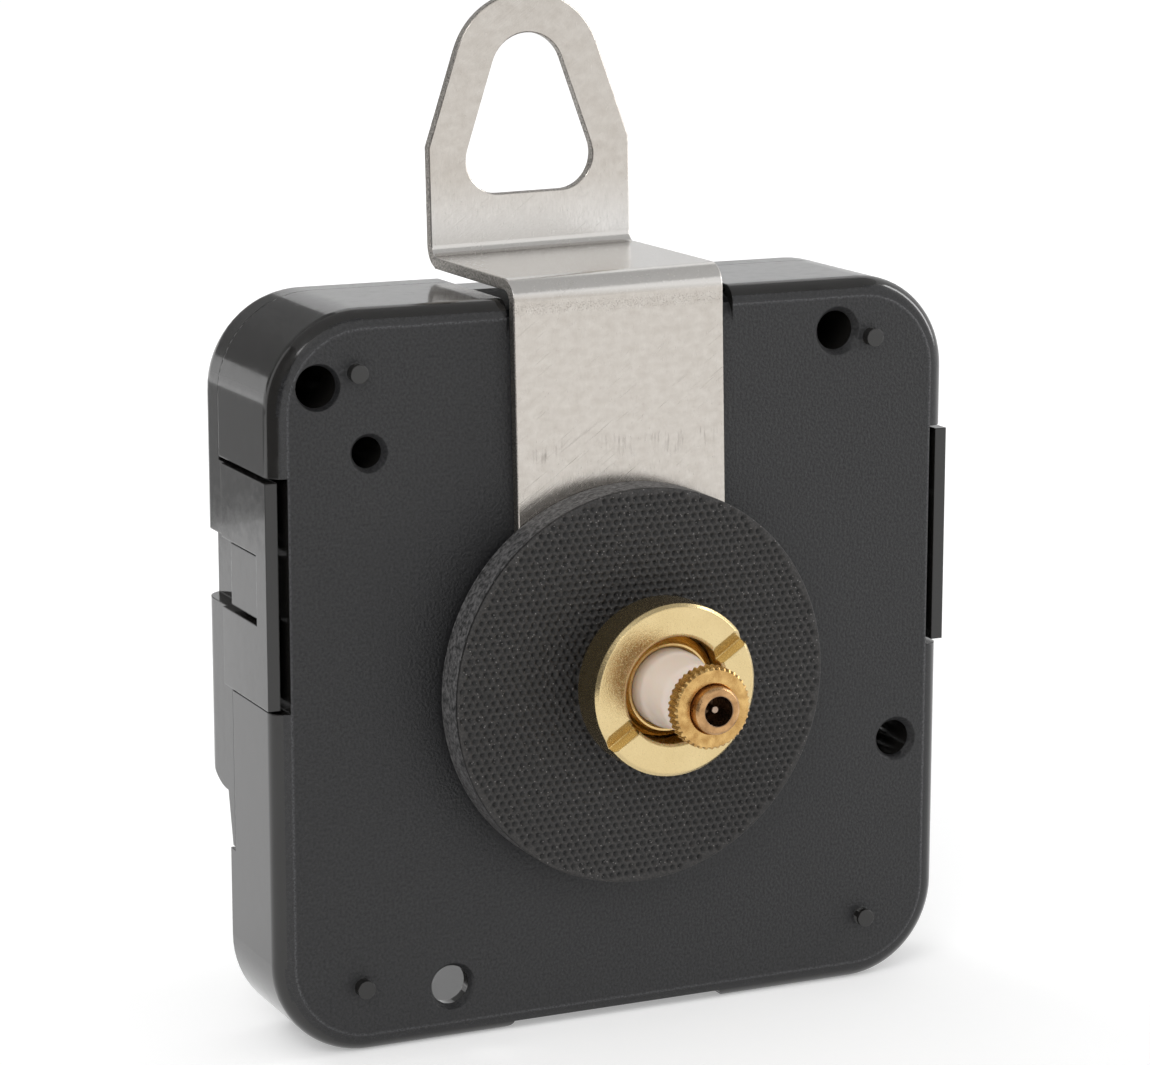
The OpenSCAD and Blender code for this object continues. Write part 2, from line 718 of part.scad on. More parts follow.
// A quarter bend of the strap round a line along X at c = [y, z], in the quarter that sy and sz point to
module bend(c, w, sy, sz) {
    intersection() {
        translate([-w / 2, c[0], c[1]])
            rotate([0, 90, 0])
                difference() {
                    cylinder(r = bend_out, h = w);
                    translate([0, 0, -cut])
                        cylinder(r = bend_r, h = w + 2 * cut);
                }
        box([-w / 2 - cut, min(c[0], c[0] + sy * 2 * bend_out), min(c[1], c[1] + sz * 2 * bend_out)],
            [w / 2 + cut, max(c[0], c[0] + sy * 2 * bend_out), max(c[1], c[1] + sz * 2 * bend_out)]);
    }
}

module rubber_washer() {
    color("#26262a")
        difference() {
            shaft([0, -washer_drop], washer_r, washer_y, washer_y + washer_t);
            shaft([0, -washer_drop], washer_bore_r, washer_y - cut, washer_y + washer_t + cut);
        }
}

module threaded_bush() {
    chamfer = 0.7;
    color("#c8a45a")
        difference() {
            union() {
                shaft(centre, bush_r, -bush_l + chamfer, wall + cut);
                at(centre, -bush_l)
                    cylinder(r1 = bush_r - chamfer, r2 = bush_r, h = chamfer);
                shaft(centre, bush_r + 2, flange_y + touch, flange_y + flange_t);
            }
            shaft(centre, bush_bore_r, -bush_l - cut, flange_y + flange_t + cut);
        }
}

module centre_nut() {
    chamfer = 0.25;
    color("#d9bd7a")
        difference() {
            at(centre, nut_y) {
                cylinder(r1 = nut_r - chamfer, r2 = nut_r, h = chamfer);
                translate([0, 0, chamfer])
                    cylinder(r = nut_r, h = nut_t - chamfer);
            }
            shaft(centre, nut_bore_r, nut_y - cut, nut_y + nut_t + cut);
            at(centre, nut_y - 0.01)
                cylinder(r1 = nut_bore_r + 0.15, r2 = nut_bore_r, h = 0.16);
            rotate([0, -slot_angle, 0])
                box([-nut_r - 1, nut_y - cut, -slot_w / 2], [nut_r + 1, nut_y + slot_d, slot_w / 2]);
        }
}

module minute_nut() {
    ridge = 0.16;
    color("#b98b4f")
        difference() {
            at(centre, minute_nut_y)
                linear_extrude(minute_nut_t)
                    polygon([for (i = [0:2 * knurls - 1])
                        ring_point(minute_nut_r - (i % 2) * ridge, 180 * i / knurls)]);
            shaft(centre, minute_r + touch, minute_nut_y - cut, minute_nut_y + minute_nut_t + cut);
        }
}

module hour_wheel() {
    neck_y = -bush_l - 1.6;
    color("#efe6da")
        difference() {
            union() {
                at(centre, 0)
                    rotate_extrude()
                        polygon([[minute_r + run_gap, -hour_l], [hour_neck_r - 0.35, -hour_l],
                            [hour_neck_r - 0.1, -hour_l + 0.35], [hour_neck_r, neck_y],
                            [hour_r, neck_y + 0.7], [hour_r, hour_y], [minute_r + run_gap, hour_y]]);
                at(centre, hour_y)
                    gear(hour_n, hour_m, wheel_t + 0.1, gap_to(hour_n, setting_angle));
                shaft(centre, 4.2, hour_y - 0.2, hour_y);
            }
            shaft(centre, minute_r + run_gap, hour_y - 1, hour_y + 2);
        }
}

module minute_tube() {
    bore_r = arbor_r + run_gap;
    seat_r = 1.5;
    color("#b98b4f")
        difference() {
            union() {
                at(centre, 0)
                    rotate_extrude()
                        polygon([[bore_r, -minute_l], [minute_r - 0.2, -minute_l],
                            [minute_r, -minute_l + 0.2], [minute_r, minute_pinion_y],
                            [bore_r, minute_pinion_y]]);
                at(centre, minute_pinion_y)
                    gear(minute_pinion_n, motion_m, 1.1, setting_angle);
                shaft(centre, seat_r, minute_pinion_y + 1, minute_y + wheel_t + 0.15);
            }
            shaft(centre, mouth_r, -minute_l - cut, -minute_l + mouth_l);
            shaft(centre, bore_r, -minute_l, minute_y + 2);
        }
}

module minute_wheel() {
    color("#e8e4da")
        difference() {
            union() {
                at(centre, minute_y)
                    gear(minute_n, minute_m, wheel_t, gap_to(minute_n, third_angle));
                shaft(centre, 2.3, minute_pinion_y + 1.1 + touch, minute_y + wheel_t + 0.1);
            }
            shaft(centre, 1.5 + touch, minute_y - 2, minute_y + 2);
        }
}

module seconds_arbor() {
    shoulder_y = third_y - 0.35;
    color("#b9b9b9") {
        shaft(centre, tip_r, -arbor_l, tip_y);
        shaft(centre, arbor_r, tip_y - touch, shoulder_y);
        shaft(centre, tip_r, shoulder_y - touch, seconds_y + wheel_t);
    }
}

module seconds_wheel() {
    front_y = third_y - 0.33;
    color("#efe9dc")
        difference() {
            union() {
                at(centre, front_y)
                    gear(seconds_pinion_n, third_m, 1.2, third_angle);
                shaft(centre, 0.56, front_y + 1, seconds_y + 0.1);
                at(centre, seconds_y)
                    gear(seconds_n, seconds_m, wheel_t, gap_to(seconds_n, inter_angle));
                shaft(centre, 0.9, seconds_y + wheel_t - touch, bridge_y - 0.3);
                shaft(centre, pivot_r, seconds_y + wheel_t, bridge_y + bridge_t - 0.1);
            }
            shaft(centre, tip_r + touch, front_y - cut, seconds_y + wheel_t + 0.05);
        }
}

module third_wheel() {
    color("#e8e4da") {
        shaft(third_p, pivot_r, minute_y - 2.1, third_y);
        at(third_p, minute_y - 0.15)
            gear(third_pinion_n, minute_m, 1.7, third_angle + 180);
        at(third_p, third_y)
            gear(third_n, third_m, wheel_t, gap_to(third_n, third_angle + 180));
        shaft(third_p, 0.6, third_y + wheel_t - touch, bridge_y - 0.3);
        shaft(third_p, pivot_r, bridge_y - 0.5, bridge_y + bridge_t - 0.1);
    }
}

module intermediate_wheel() {
    color("#efe9dc") {
        shaft(inter_p, pivot_r, third_y - 1.8, third_y);
        shaft(inter_p, 0.6, third_y - touch, inter_y + touch);
        at(inter_p, inter_y)
            gear(inter_n, rotor_m, wheel_t, gap_to(inter_n, rotor_angle));
        at(inter_p, inter_y + wheel_t - touch)
            gear(inter_pinion_n, seconds_m, 1.3, inter_angle + 180);
        shaft(inter_p, 0.6, inter_y + wheel_t, bridge_y - 0.3);
        shaft(inter_p, pivot_r, bridge_y - 0.5, bridge_y + bridge_t - 0.1);
    }
}

module rotor_arbor() {
    color("#b9b9b9")
        shaft(rotor_p, rotor_arbor_r, magnet_y - 1.5, bridge_y + bridge_t - 0.1);
}

module rotor_pinion() {
    color("#e8e4da")
        difference() {
            union() {
                shaft(rotor_p, hub_r + 0.5, magnet_y - 0.3, magnet_y - touch);
                shaft(rotor_p, hub_r, magnet_y - 0.1, rotor_pinion_y + touch);
                at(rotor_p, rotor_pinion_y)
                    gear(rotor_pinion_n, rotor_m, 1.2, rotor_angle + 180);
            }
            shaft(rotor_p, rotor_arbor_r + touch, magnet_y - 1, rotor_pinion_y + 2);
        }
}

module rotor_magnet() {
    color("#4a4a4e")
        difference() {
            shaft(rotor_p, magnet_r, magnet_y, magnet_y + magnet_l);
            shaft(rotor_p, hub_r + touch, magnet_y - cut, magnet_y + magnet_l + cut);
        }
}

module motion_wheel() {
    color("#efe9dc") {
        shaft(setting_p, 0.5, 0.7, motion_pinion_y + touch);
        at(setting_p, motion_pinion_y)
            gear(motion_pinion_n, hour_m, 1.5, setting_angle + 180);
        at(setting_p, motion_y)
            gear(motion_n, motion_m, wheel_t + 0.1, gap_to(motion_n, setting_angle + 180));
        shaft(setting_p, setting_r, motion_y, case_depth - 0.5);
        shaft(setting_p, setting_r - 0.15, case_depth - 0.6, case_depth + 1);
    }
}

module setting_knob() {
    grooves = 24;
    groove_r = 0.3;
    knob_y = case_depth - 0.5;
    color("#333336")
        difference() {
            shaft(setting_p, knob_r, knob_y, knob_y + knob_t);
            for (i = [0:grooves - 1])
                shaft(along(setting_p, knob_r + 0.1, 360 * i / grooves), groove_r,
                    knob_y - cut, knob_y + knob_t + cut);
            shaft(setting_p, setting_r - 0.15 + touch, knob_y - cut, case_depth + 1 + touch);
        }
}

module train_bridge() {
    color("#3a3a3e")
        difference() {
            plate(bridge_outline, bridge_y, bridge_y + bridge_t);
            for (p = posts)
                shaft(p, pin_r + touch, bridge_y - cut, bridge_y + bridge_t + cut);
            for (p = [centre, third_p, inter_p])
                shaft(p, pivot_r + run_gap, bridge_y - cut, bridge_y + bridge_t + cut);
            shaft(rotor_p, rotor_arbor_r + run_gap, bridge_y - cut, bridge_y + bridge_t + cut);
            shaft(setting_p, setting_r + run_gap, bridge_y - cut, bridge_y + bridge_t + cut);
        }
}

module stator() {
    up = core_ends[0];
    down = core_ends[1];
    strip_left = coil_x + flange_r + 0.3;
    strip_right = strip_left + 2.6;
    color("#8d8d90")
        difference() {
            union() {
                plate([[up[0] - core_half_w, up[1] - core_half_w], [up[0] - core_half_w, up[1] + core_half_w],
                    [rotor_p[0], rotor_p[1] + 4.4], [rotor_p[0], rotor_p[1] - 2],
                    [strip_right, up[1] - core_half_w]],
                    stator_y, core_y - touch);
                plate([[down[0] - core_half_w, down[1] - core_half_w], [strip_right, down[1] - core_half_w],
                    [strip_right, rotor_p[1] - 6], [rotor_p[0] + 1, rotor_p[1] - 4.3],
                    [rotor_p[0], rotor_p[1]], [strip_left, rotor_p[1] - 3],
                    [strip_left, down[1] + core_half_w], [down[0] - core_half_w, down[1] + core_half_w]],
                    stator_y, core_y - touch);
                shaft(rotor_p, stator_hole_r + 1.2, stator_y, core_y - touch);
            }
            shaft(rotor_p, stator_hole_r, stator_y - cut, core_y + cut);
            for (p = core_ends)
                shaft(p, 0.8 + touch, stator_y - cut, core_y + cut);
        }
}

module coil_core() {
    color("#9a9a9c")
        difference() {
            union() {
                box([coil_x - core_w / 2, core_y, core_ends[1][1]],
                    [coil_x + core_w / 2, core_y + iron_t, core_ends[0][1]]);
                for (p = core_ends)
                    box([p[0] - core_half_w, core_y, p[1] - core_half_w],
                        [p[0] + core_half_w, core_y + iron_t, p[1] + core_half_w]);
            }
            for (p = core_ends)
                shaft(p, 0.8 + touch, core_y - cut, core_y + iron_t + cut);
        }
}

module coil_bobbin() {
    barrel_r = 2;
    color("#e2ddd0")
        difference() {
            translate([coil_x, coil_axis_y, coil_z - coil_l / 2]) {
                cylinder(r = barrel_r, h = coil_l);
                for (z = [-bobbin_flange_t, coil_l])
                    translate([0, 0, z])
                        cylinder(r = flange_r, h = bobbin_flange_t);
            }
            box([coil_x - core_w / 2 - touch, core_y - touch, coil_z - coil_l],
                [coil_x + core_w / 2 + touch, core_y + iron_t + touch, coil_z + coil_l]);
            // slots for the ends of the wire
            for (q = leads)
                translate([coil_x, coil_axis_y, coil_z])
                    rotate([0, 0, 90 - q[0]])
                        translate([coil_r - 0.6, -lead_r * 2, coil_l / 2 - touch])
                            cube([2, lead_r * 4, 2]);
        }
}

// A round rod from point p to point q
module rod(p, q, r) {
    d = q - p;
    translate(p)
        rotate([0, acos(d[2] / norm(d)), atan2(d[1], d[0])])
            cylinder(r = r, h = norm(d), $fn = 16);
}

module coil_winding() {
    lead_in = coil_r - 0.2;
    color("#b5662f") {
        translate([coil_x, coil_axis_y, coil_z - coil_l / 2 + touch])
            difference() {
                cylinder(r = coil_r, h = coil_l - 2 * touch);
                translate([0, 0, -cut])
                    cylinder(r = 2 + touch, h = coil_l + 2 * cut);
            }
        for (q = leads)
            rod([coil_x + lead_in * sin(q[0]), coil_axis_y + lead_in * cos(q[0]), coil_z + coil_l / 2 - 0.5],
                [arm_low[0] + q[1], board_y + board_t + lead_r + touch, arm_low[1] + 1], lead_r);
    }
}

module circuit_board() {
    color("#3c6b45")
        difference() {
            union() {
                box([board_low[0], board_y, board_low[1]], [board_high[0], board_y + board_t, board_high[1]]);
                box([arm_low[0], board_y, arm_low[1]], [board_high[0], board_y + board_t, board_high[1]]);
            }
            for (p = board_pins)
                shaft(p, 0.6 + touch, board_y - cut, board_y + board_t + cut);
        }
}

module quartz_crystal() {
    y = board_y + board_t + crystal_r + touch;
    color("#cfcfd2") {
        translate([crystal_p[0], y, crystal_p[1]])
            rotate([0, 90, 0])
                cylinder(r = crystal_r, h = crystal_l);
        for (z = [-0.5, 0.5])
            box([crystal_p[0] - 1.5, y - 0.15, crystal_p[1] + z - 0.15],
                [crystal_p[0] + 0.1, y + 0.15, crystal_p[1] + z + 0.15]);
        for (z = [-0.5, 0.5])
            box([crystal_p[0] - 1.5, board_y + board_t + touch, crystal_p[1] + z - 0.15],
                [crystal_p[0] - 1.2, y, crystal_p[1] + z + 0.15]);
    }
}

module driver_chip() {
    color("#1c1c1e")
        at(chip_p, board_y + board_t + touch) {
            cylinder(r = chip_r, h = chip_h / 2);
            translate([0, 0, chip_h / 2])
                cylinder(r1 = chip_r, r2 = chip_r / 2, h = chip_h / 2);
        }
}

module positive_contact() {
    finger_x = board_high[0] - 1.6;
    finger_z = board_low[1] + 1;
    color("#c4c0b4") {
        box([strip_x, contact_y0, cell_z - contact_h / 2],
            [strip_x + strip_t, contact_y1, cell_z + contact_h / 2]);
        translate([strip_x, cell_y, cell_z])
            rotate([0, -90, 0])
                cylinder(r1 = 2.6, r2 = 2, h = 0.5);
        box([strip_x, tail_y, cell_z], [strip_x + strip_t, tail_y + tail_w, finger_z]);
        box([finger_x, tail_y, finger_z - strip_t], [strip_x + touch, tail_y + tail_w, finger_z]);
        box([finger_x, board_y + board_t + touch, finger_z - strip_t],
            [finger_x + tail_w, tail_y + touch, finger_z]);
    }
}

module negative_contact() {
    finger_z = board_low[1] + 4;
    color("#c4c0b4") {
        box([-strip_x - strip_t, contact_y0, cell_z - contact_h / 2],
            [-strip_x, contact_y1, cell_z + contact_h / 2]);
        // sprung leaf, bent out from the lower edge of the plate
        plate([[-strip_x - strip_t, cell_z - contact_h / 2], [-strip_x, cell_z - contact_h / 2],
            [-strip_x + leaf_reach, cell_z], [-strip_x + leaf_end, cell_z + leaf_top],
            [-strip_x + leaf_end - strip_t, cell_z + leaf_top],
            [-strip_x + leaf_reach - strip_t * 1.3, cell_z],
            [-strip_x - strip_t, cell_z - contact_h / 2 + 1]], cell_y - leaf_w / 2, cell_y + leaf_w / 2);
        box([-strip_x - strip_t, tail_y, cell_z], [-strip_x, tail_y + tail_w, rail_z + strip_t]);
        box([-strip_x - touch, tail_y, rail_z], [cross_x, tail_y + tail_w, rail_z + strip_t]);
        box([cross_x - tail_w, tail_y, rail_z], [cross_x, rail_y + tail_w, rail_z + strip_t]);
        box([cross_x - tail_w, rail_y, rail_z], [riser_x, rail_y + tail_w, rail_z + strip_t]);
        box([riser_x - strip_t, rail_y, rail_z], [riser_x, rail_y + tail_w, finger_z + tail_w]);
        box([riser_x - strip_t, board_y + board_t + touch, finger_z],
            [riser_x, rail_y + touch, finger_z + tail_w]);
    }
}

front_case();
rear_cover();
hanger();
rubber_washer();
threaded_bush();
centre_nut();
minute_nut();
hour_wheel();
minute_tube();
minute_wheel();
seconds_arbor();
seconds_wheel();
third_wheel();
intermediate_wheel();
rotor_arbor();
rotor_pinion();
rotor_magnet();
motion_wheel();
setting_knob();
train_bridge();
stator();
coil_core();
coil_bobbin();
coil_winding();
circuit_board();
quartz_crystal();
driver_chip();
positive_contact();
negative_contact();
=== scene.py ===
# A quartz clock movement, dressed piece by piece in the order in which it is put together.
import math

import bmesh
import bpy
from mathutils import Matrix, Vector, geometry


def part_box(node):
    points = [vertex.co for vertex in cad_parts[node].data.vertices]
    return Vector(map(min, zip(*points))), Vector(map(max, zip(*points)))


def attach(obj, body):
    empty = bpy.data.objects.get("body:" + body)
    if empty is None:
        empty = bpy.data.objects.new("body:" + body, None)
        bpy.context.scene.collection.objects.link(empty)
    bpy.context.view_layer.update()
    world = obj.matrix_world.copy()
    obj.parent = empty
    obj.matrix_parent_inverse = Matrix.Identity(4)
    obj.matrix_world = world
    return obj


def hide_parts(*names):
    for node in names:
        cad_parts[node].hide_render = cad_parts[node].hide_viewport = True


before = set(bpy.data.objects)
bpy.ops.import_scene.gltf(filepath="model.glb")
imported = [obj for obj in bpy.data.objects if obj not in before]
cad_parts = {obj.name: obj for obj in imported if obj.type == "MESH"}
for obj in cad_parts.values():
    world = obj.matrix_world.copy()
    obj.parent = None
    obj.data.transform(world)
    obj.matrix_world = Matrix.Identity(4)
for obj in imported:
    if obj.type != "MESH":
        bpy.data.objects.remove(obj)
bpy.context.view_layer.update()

MM = 0.001


# Front case: a black shell moulded in one piece. Its face is grained in the mould, and its rounded
# edges and side walls are left glossy. Bosses, posts and the cell's bay belong to the same moulding.
class Nodes:
    """Adds nodes to a tree. Each input is a socket to link or a plain value, by its place."""

    def __init__(self, tree):
        self.tree = tree

    def add(self, kind, *values, out=0, at=None, **settings):
        node = self.tree.nodes.new(kind)
        for name, value in settings.items():
            setattr(node, name, value)
        for place, value in [*enumerate(values), *(at or {}).items()]:
            if isinstance(value, bpy.types.NodeSocket):
                self.tree.links.new(value, node.inputs[place])
            elif value is not None:
                node.inputs[place].default_value = value
        return node.outputs[out]

    def math(self, operation, *values, clamp=False):
        return self.add("ShaderNodeMath", *values, operation=operation, use_clamp=clamp)

    def vector(self, operation, *values, at=None, out=0):
        return self.add("ShaderNodeVectorMath", *values, at=at, operation=operation, out=out)


class Finish(Nodes):
    """A surface finish: a Principled shader and the nodes that feed it, in millimetres of the frame."""

    def __init__(self, name, **sockets):
        self.material = bpy.data.materials.new(name)
        self.material.use_nodes = True
        super().__init__(self.material.node_tree)
        self.shader = self.tree.nodes["Principled BSDF"]
        for socket, value in sockets.items():
            self.shader.inputs[socket.replace("_", " ")].default_value = value
        coordinates = self.add("ShaderNodeTexCoord", out=3)
        self.place = self.vector("SCALE", coordinates, at={3: 1 / MM})

    def grain(self, size, detail=2.0, stretch=(1, 1, 1)):
        """Noise from 0 to 1, with grains about size mm across, times the stretch."""
        place = self.vector("DIVIDE", self.place, [size * s for s in stretch])
        return self.add("ShaderNodeTexNoise", place, at={2: 1.0, 3: detail})

    def band(self, value, low, high, to_low=0.0, to_high=1.0):
        """Spreads the value's range from low to high over another range."""
        return self.add("ShaderNodeMapRange", value, low, high, to_low, to_high)

    def blend(self, share, first, second):
        """A colour between two, each a socket or red, green and blue."""
        pair = [c if isinstance(c, bpy.types.NodeSocket) else (*c, 1) for c in (first, second)]
        return self.add("ShaderNodeMix", share, at={6: pair[0], 7: pair[1]}, out=2, data_type="RGBA")

    def relief(self, height, depth, under=None):
        """A bump of that depth in mm, on top of an earlier normal."""
        return self.add("ShaderNodeBump", 1.0, depth * MM, at={3: height, 4: under})

    def soft_edges(self, radius):
        """A normal that rounds sharp edges by radius mm."""
        return self.add("ShaderNodeBevel", radius * MM, samples=6)

    def set(self, **sockets):
        for socket, value in sockets.items():
            self.tree.links.new(value, self.shader.inputs[socket.replace("_", " ")])


def skin(node):
    """The CAD node's loose triangles, joined into one skin with whole flat faces."""
    mesh = bmesh.new()
    mesh.from_mesh(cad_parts[node].data)
    bmesh.ops.remove_doubles(mesh, verts=mesh.verts, dist=0.002 * MM)
    bmesh.ops.dissolve_limit(mesh, angle_limit=math.radians(0.2), verts=mesh.verts, edges=mesh.edges)
    return mesh


def made(name, mesh, smooth=35):
    """The bmesh as an object, shaded smooth except at edges sharper than smooth degrees."""
    data = bpy.data.meshes.new(name)
    mesh.to_mesh(data)
    mesh.free()
    data.shade_smooth()
    data.set_sharp_from_angle(angle=math.radians(smooth))
    piece = bpy.data.objects.new(name, data)
    bpy.context.scene.collection.objects.link(piece)
    return piece


def settled(piece):
    """Turns what the piece's modifiers make into its own plain mesh."""
    graph = bpy.context.evaluated_depsgraph_get()
    data = bpy.data.meshes.new_from_object(piece.evaluated_get(graph))
    piece.modifiers.clear()
    piece.data = data
    return piece


def eased(piece, width=0.0, angle=30):
    """Rounds edges sharper than angle degrees by width mm, and keeps flat faces flat to the eye."""
    if width:
        edge = piece.modifiers.new("eased edge", "BEVEL")
        edge.width, edge.segments = width * MM, 2
        edge.limit_method, edge.angle_limit = "ANGLE", math.radians(angle)
        edge.use_clamp_overlap = False
        edge.miter_outer = "MITER_ARC"
    flat = piece.modifiers.new("flat faces", "WEIGHTED_NORMAL")
    flat.keep_sharp = True
    return settled(piece)


def fitted(piece, body, finish=None):
    """Puts the piece on its body in place of the CAD node of its name."""
    if finish:
        piece.data.materials.append(finish.material)
    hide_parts(piece.name.removesuffix("_piece"))
    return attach(piece, body)


case_gloss = Finish("case_gloss", Coat_Weight=0.2, Coat_Roughness=0.04)
flow = case_gloss.grain(9, detail=3)
case_gloss.set(
    Base_Color=case_gloss.blend(flow, (0.008, 0.0075, 0.007), (0.014, 0.013, 0.012)),
    Roughness=case_gloss.band(case_gloss.grain(0.8, detail=6), 0.3, 0.75, 0.07, 0.19),
    Normal=case_gloss.relief(case_gloss.grain(2.4, detail=3), 0.008, case_gloss.soft_edges(0.14)),
)

# The face in mm: half sizes of its straight part, its middle's height and its corners' radius. A
# fine border line runs along it, painted lighter as a highlight on the edge where the grain starts,
# and the grain starts at the border.
face_half, face_middle, face_corner = (20.6, 0, 20.75), 0.15, 7.4
border_inset, border_width, grain_start, grain_full = 1.42, 0.16, 1.3, 1.46
case_grain = Finish("case_grain")
pits = case_grain.grain(0.22, detail=5)
cloud = case_grain.grain(6, detail=4)
centred = case_grain.vector("SUBTRACT", case_grain.place, (0, 0, face_middle))
from_middle = case_grain.vector("SUBTRACT", case_grain.vector("ABSOLUTE", centred), face_half)
past_corner = case_grain.vector("MULTIPLY", case_grain.vector("MAXIMUM", from_middle, (0, 0, 0)), (1, 0, 1))
apart = case_grain.add("ShaderNodeSeparateXYZ", from_middle).node.outputs
inside = case_grain.math("MINIMUM", case_grain.math("MAXIMUM", apart[0], apart[2]), 0.0)
depth_in = case_grain.math("SUBTRACT", face_corner, case_grain.math(
    "ADD", case_grain.vector("LENGTH", past_corner, out=1), inside))
off_border = case_grain.math("ABSOLUTE", case_grain.math("SUBTRACT", depth_in, border_inset))
# The border line's lighter colour is a painted highlight along the edge where the grain starts.
border_highlight = case_grain.math("MULTIPLY", case_grain.band(off_border, 0.0, border_width, 1.0, 0.0),
                         case_grain.band(case_grain.grain(0.14, detail=3), 0.4, 0.62))
grained = case_grain.band(depth_in, grain_start, grain_full)
plain = case_grain.blend(cloud, (0.017, 0.017, 0.018), (0.024, 0.024, 0.025))
speckled = case_grain.blend(case_grain.band(pits, 0.35, 0.7), (0.007, 0.007, 0.008), plain)
case_grain.set(
    Base_Color=case_grain.blend(border_highlight, speckled, (0.082, 0.082, 0.087)),
    Roughness=case_grain.band(grained, 0.0, 1.0, 0.2, case_grain.band(pits, 0.3, 0.7, 0.62, 0.44)),
    Normal=case_grain.relief(case_grain.math("MULTIPLY", pits, grained), 0.09, case_grain.soft_edges(0.14)),
)

# The channel's finish is rough, and its colour is a painted shade: darker than the case's gloss.
channel_dull_shaded = Finish("case_channel_shaded")
channel_dull_shaded.set(
    Base_Color=channel_dull_shaded.blend(channel_dull_shaded.grain(3), (0.005, 0.005, 0.005), (0.009, 0.009, 0.009)),
    Roughness=channel_dull_shaded.band(channel_dull_shaded.grain(0.3, detail=4), 0.3, 0.7, 0.55, 0.75),
    Normal=channel_dull_shaded.relief(channel_dull_shaded.grain(0.3), 0.03),
)

# The grain also covers the holes' mouths, and the hanger's channel in the top is dull, with its
# colour painted darker than the case's gloss as shade under the strap.
channel_half, channel_bottom, mouth_depth, flatness = 9.3, 25.3, 1.2, 0.005
case = made("front_case_piece", skin("front_case"), smooth=25)
for finish in (case_gloss, case_grain, channel_dull_shaded):
    case.data.materials.append(finish.material)
for face in case.data.polygons:
    x, y, z = (part / MM for part in face.center)
    past_x, past_z = abs(x) - face_half[0], abs(z - face_middle) - face_half[2]
    from_edge = face_corner - math.hypot(max(past_x, 0), max(past_z, 0)) - min(max(past_x, past_z), 0)
    in_mouth = from_edge > border_inset / 2 and 0 < y < mouth_depth and face.normal.y < -0.2
    on_face = in_mouth or all(abs(case.data.vertices[v].co.y) < flatness * MM for v in face.vertices)
    in_channel = abs(x) < channel_half and z > channel_bottom and face.normal.z > 0.1
    face.material_index = 1 if on_face else 2 if in_channel else 0
fitted(eased(case), "case")


# Battery contacts: nickelled spring strip, punched and bent. The left one has a sprung leaf that
# presses on the cell's flat end, and both have tails that run to the circuit board.
contact_metal = Finish("contact_metal", Metallic=1.0, Anisotropic=0.4)
rolled = contact_metal.grain(0.12, detail=4, stretch=(1, 1, 14))
contact_metal.set(
    Base_Color=contact_metal.blend(contact_metal.grain(2, detail=4), (0.62, 0.6, 0.54), (0.74, 0.71, 0.64)),
    Roughness=contact_metal.band(rolled, 0.3, 0.7, 0.2, 0.38),
    Normal=contact_metal.relief(rolled, 0.006, contact_metal.soft_edges(0.06)),
)
for node in ("positive_contact", "negative_contact"):
    fitted(eased(made(node + "_piece", skin(node)), 0.04), "case", contact_metal)


# Circuit board: green glass laminate on three pins, with a quartz crystal in a bright drawn can and
# the driver chip under a drop of black resin.
board_green = Finish("board_laminate")
weave = board_green.math("MULTIPLY", *(
    board_green.add("ShaderNodeTexWave", board_green.place, 2.2, 1.0, out=1, bands_direction=way)
    for way in "XZ"))
tracks = board_green.band(board_green.add("ShaderNodeTexVoronoi", board_green.place, None, 0.42,
                                          feature="DISTANCE_TO_EDGE", distance="CHEBYCHEV"), 0.05, 0.09)
solder_mask = board_green.blend(weave, (0.028, 0.13, 0.05), (0.04, 0.17, 0.07))
board_green.set(
    Base_Color=board_green.blend(tracks, (0.09, 0.28, 0.1), solder_mask),
    Roughness=board_green.band(weave, 0.0, 1.0, 0.32, 0.45),
    Normal=board_green.relief(tracks, 0.02, board_green.soft_edges(0.05)),
)
bright_can = Finish("crystal_can", Metallic=1.0)
drawn = bright_can.grain(0.15, detail=3, stretch=(12, 1, 1))
bright_can.set(
    Base_Color=bright_can.blend(drawn, (0.72, 0.72, 0.73), (0.82, 0.82, 0.83)),
    Roughness=bright_can.band(drawn, 0.3, 0.7, 0.14, 0.3),
    Normal=bright_can.relief(drawn, 0.004, bright_can.soft_edges(0.12)),
)
resin = Finish("chip_resin")
resin.set(
    Base_Color=resin.blend(resin.grain(0.5), (0.008, 0.008, 0.008), (0.02, 0.02, 0.02)),
    Roughness=resin.band(resin.grain(1.2), 0.3, 0.7, 0.25, 0.45),
    Normal=resin.relief(resin.grain(0.7, detail=3), 0.05, resin.soft_edges(0.3)),
)
for node, slot, finish, ease in (("circuit_board", "board", board_green, 0.04),
                                 ("quartz_crystal", "crystal_can", bright_can, 0.04),
                                 ("driver_chip", "chip_resin", resin, 0.2)):
    fitted(eased(made(node + "_piece", skin(node)), ease), "case", finish)


# Coil: enamelled copper wire in even turns on a moulded bobbin, with a core of punched soft iron
# through it. The wire's two ends run to the board.
def turned(name, profile, steps, centre=(0, 0)):
    """A turned piece: a closed outline of (radius, y) points in mm, spun round a line along Y."""
    mesh = bmesh.new()
    rings = []
    for step in range(steps):
        turn = 2 * math.pi * step / steps
        rings.append([mesh.verts.new((MM * (centre[0] + r * math.cos(turn)), MM * y,
                                      MM * (centre[1] + r * math.sin(turn)))) for r, y in profile])
    for ring, following in zip(rings, rings[1:] + rings[:1]):
        for i in range(len(profile)):
            mesh.faces.new((ring[i - 1], ring[i], following[i], following[i - 1]))
    bmesh.ops.recalc_face_normals(mesh, faces=mesh.faces)
    return made(name, mesh)


def rows(r, y0, y1, pitch):
    """Points along a straight side at radius r, a small pitch apart."""
    count = max(1, round(abs(y1 - y0) / pitch))
    return [(r, y0 + (y1 - y0) * i / count) for i in range(count + 1)]


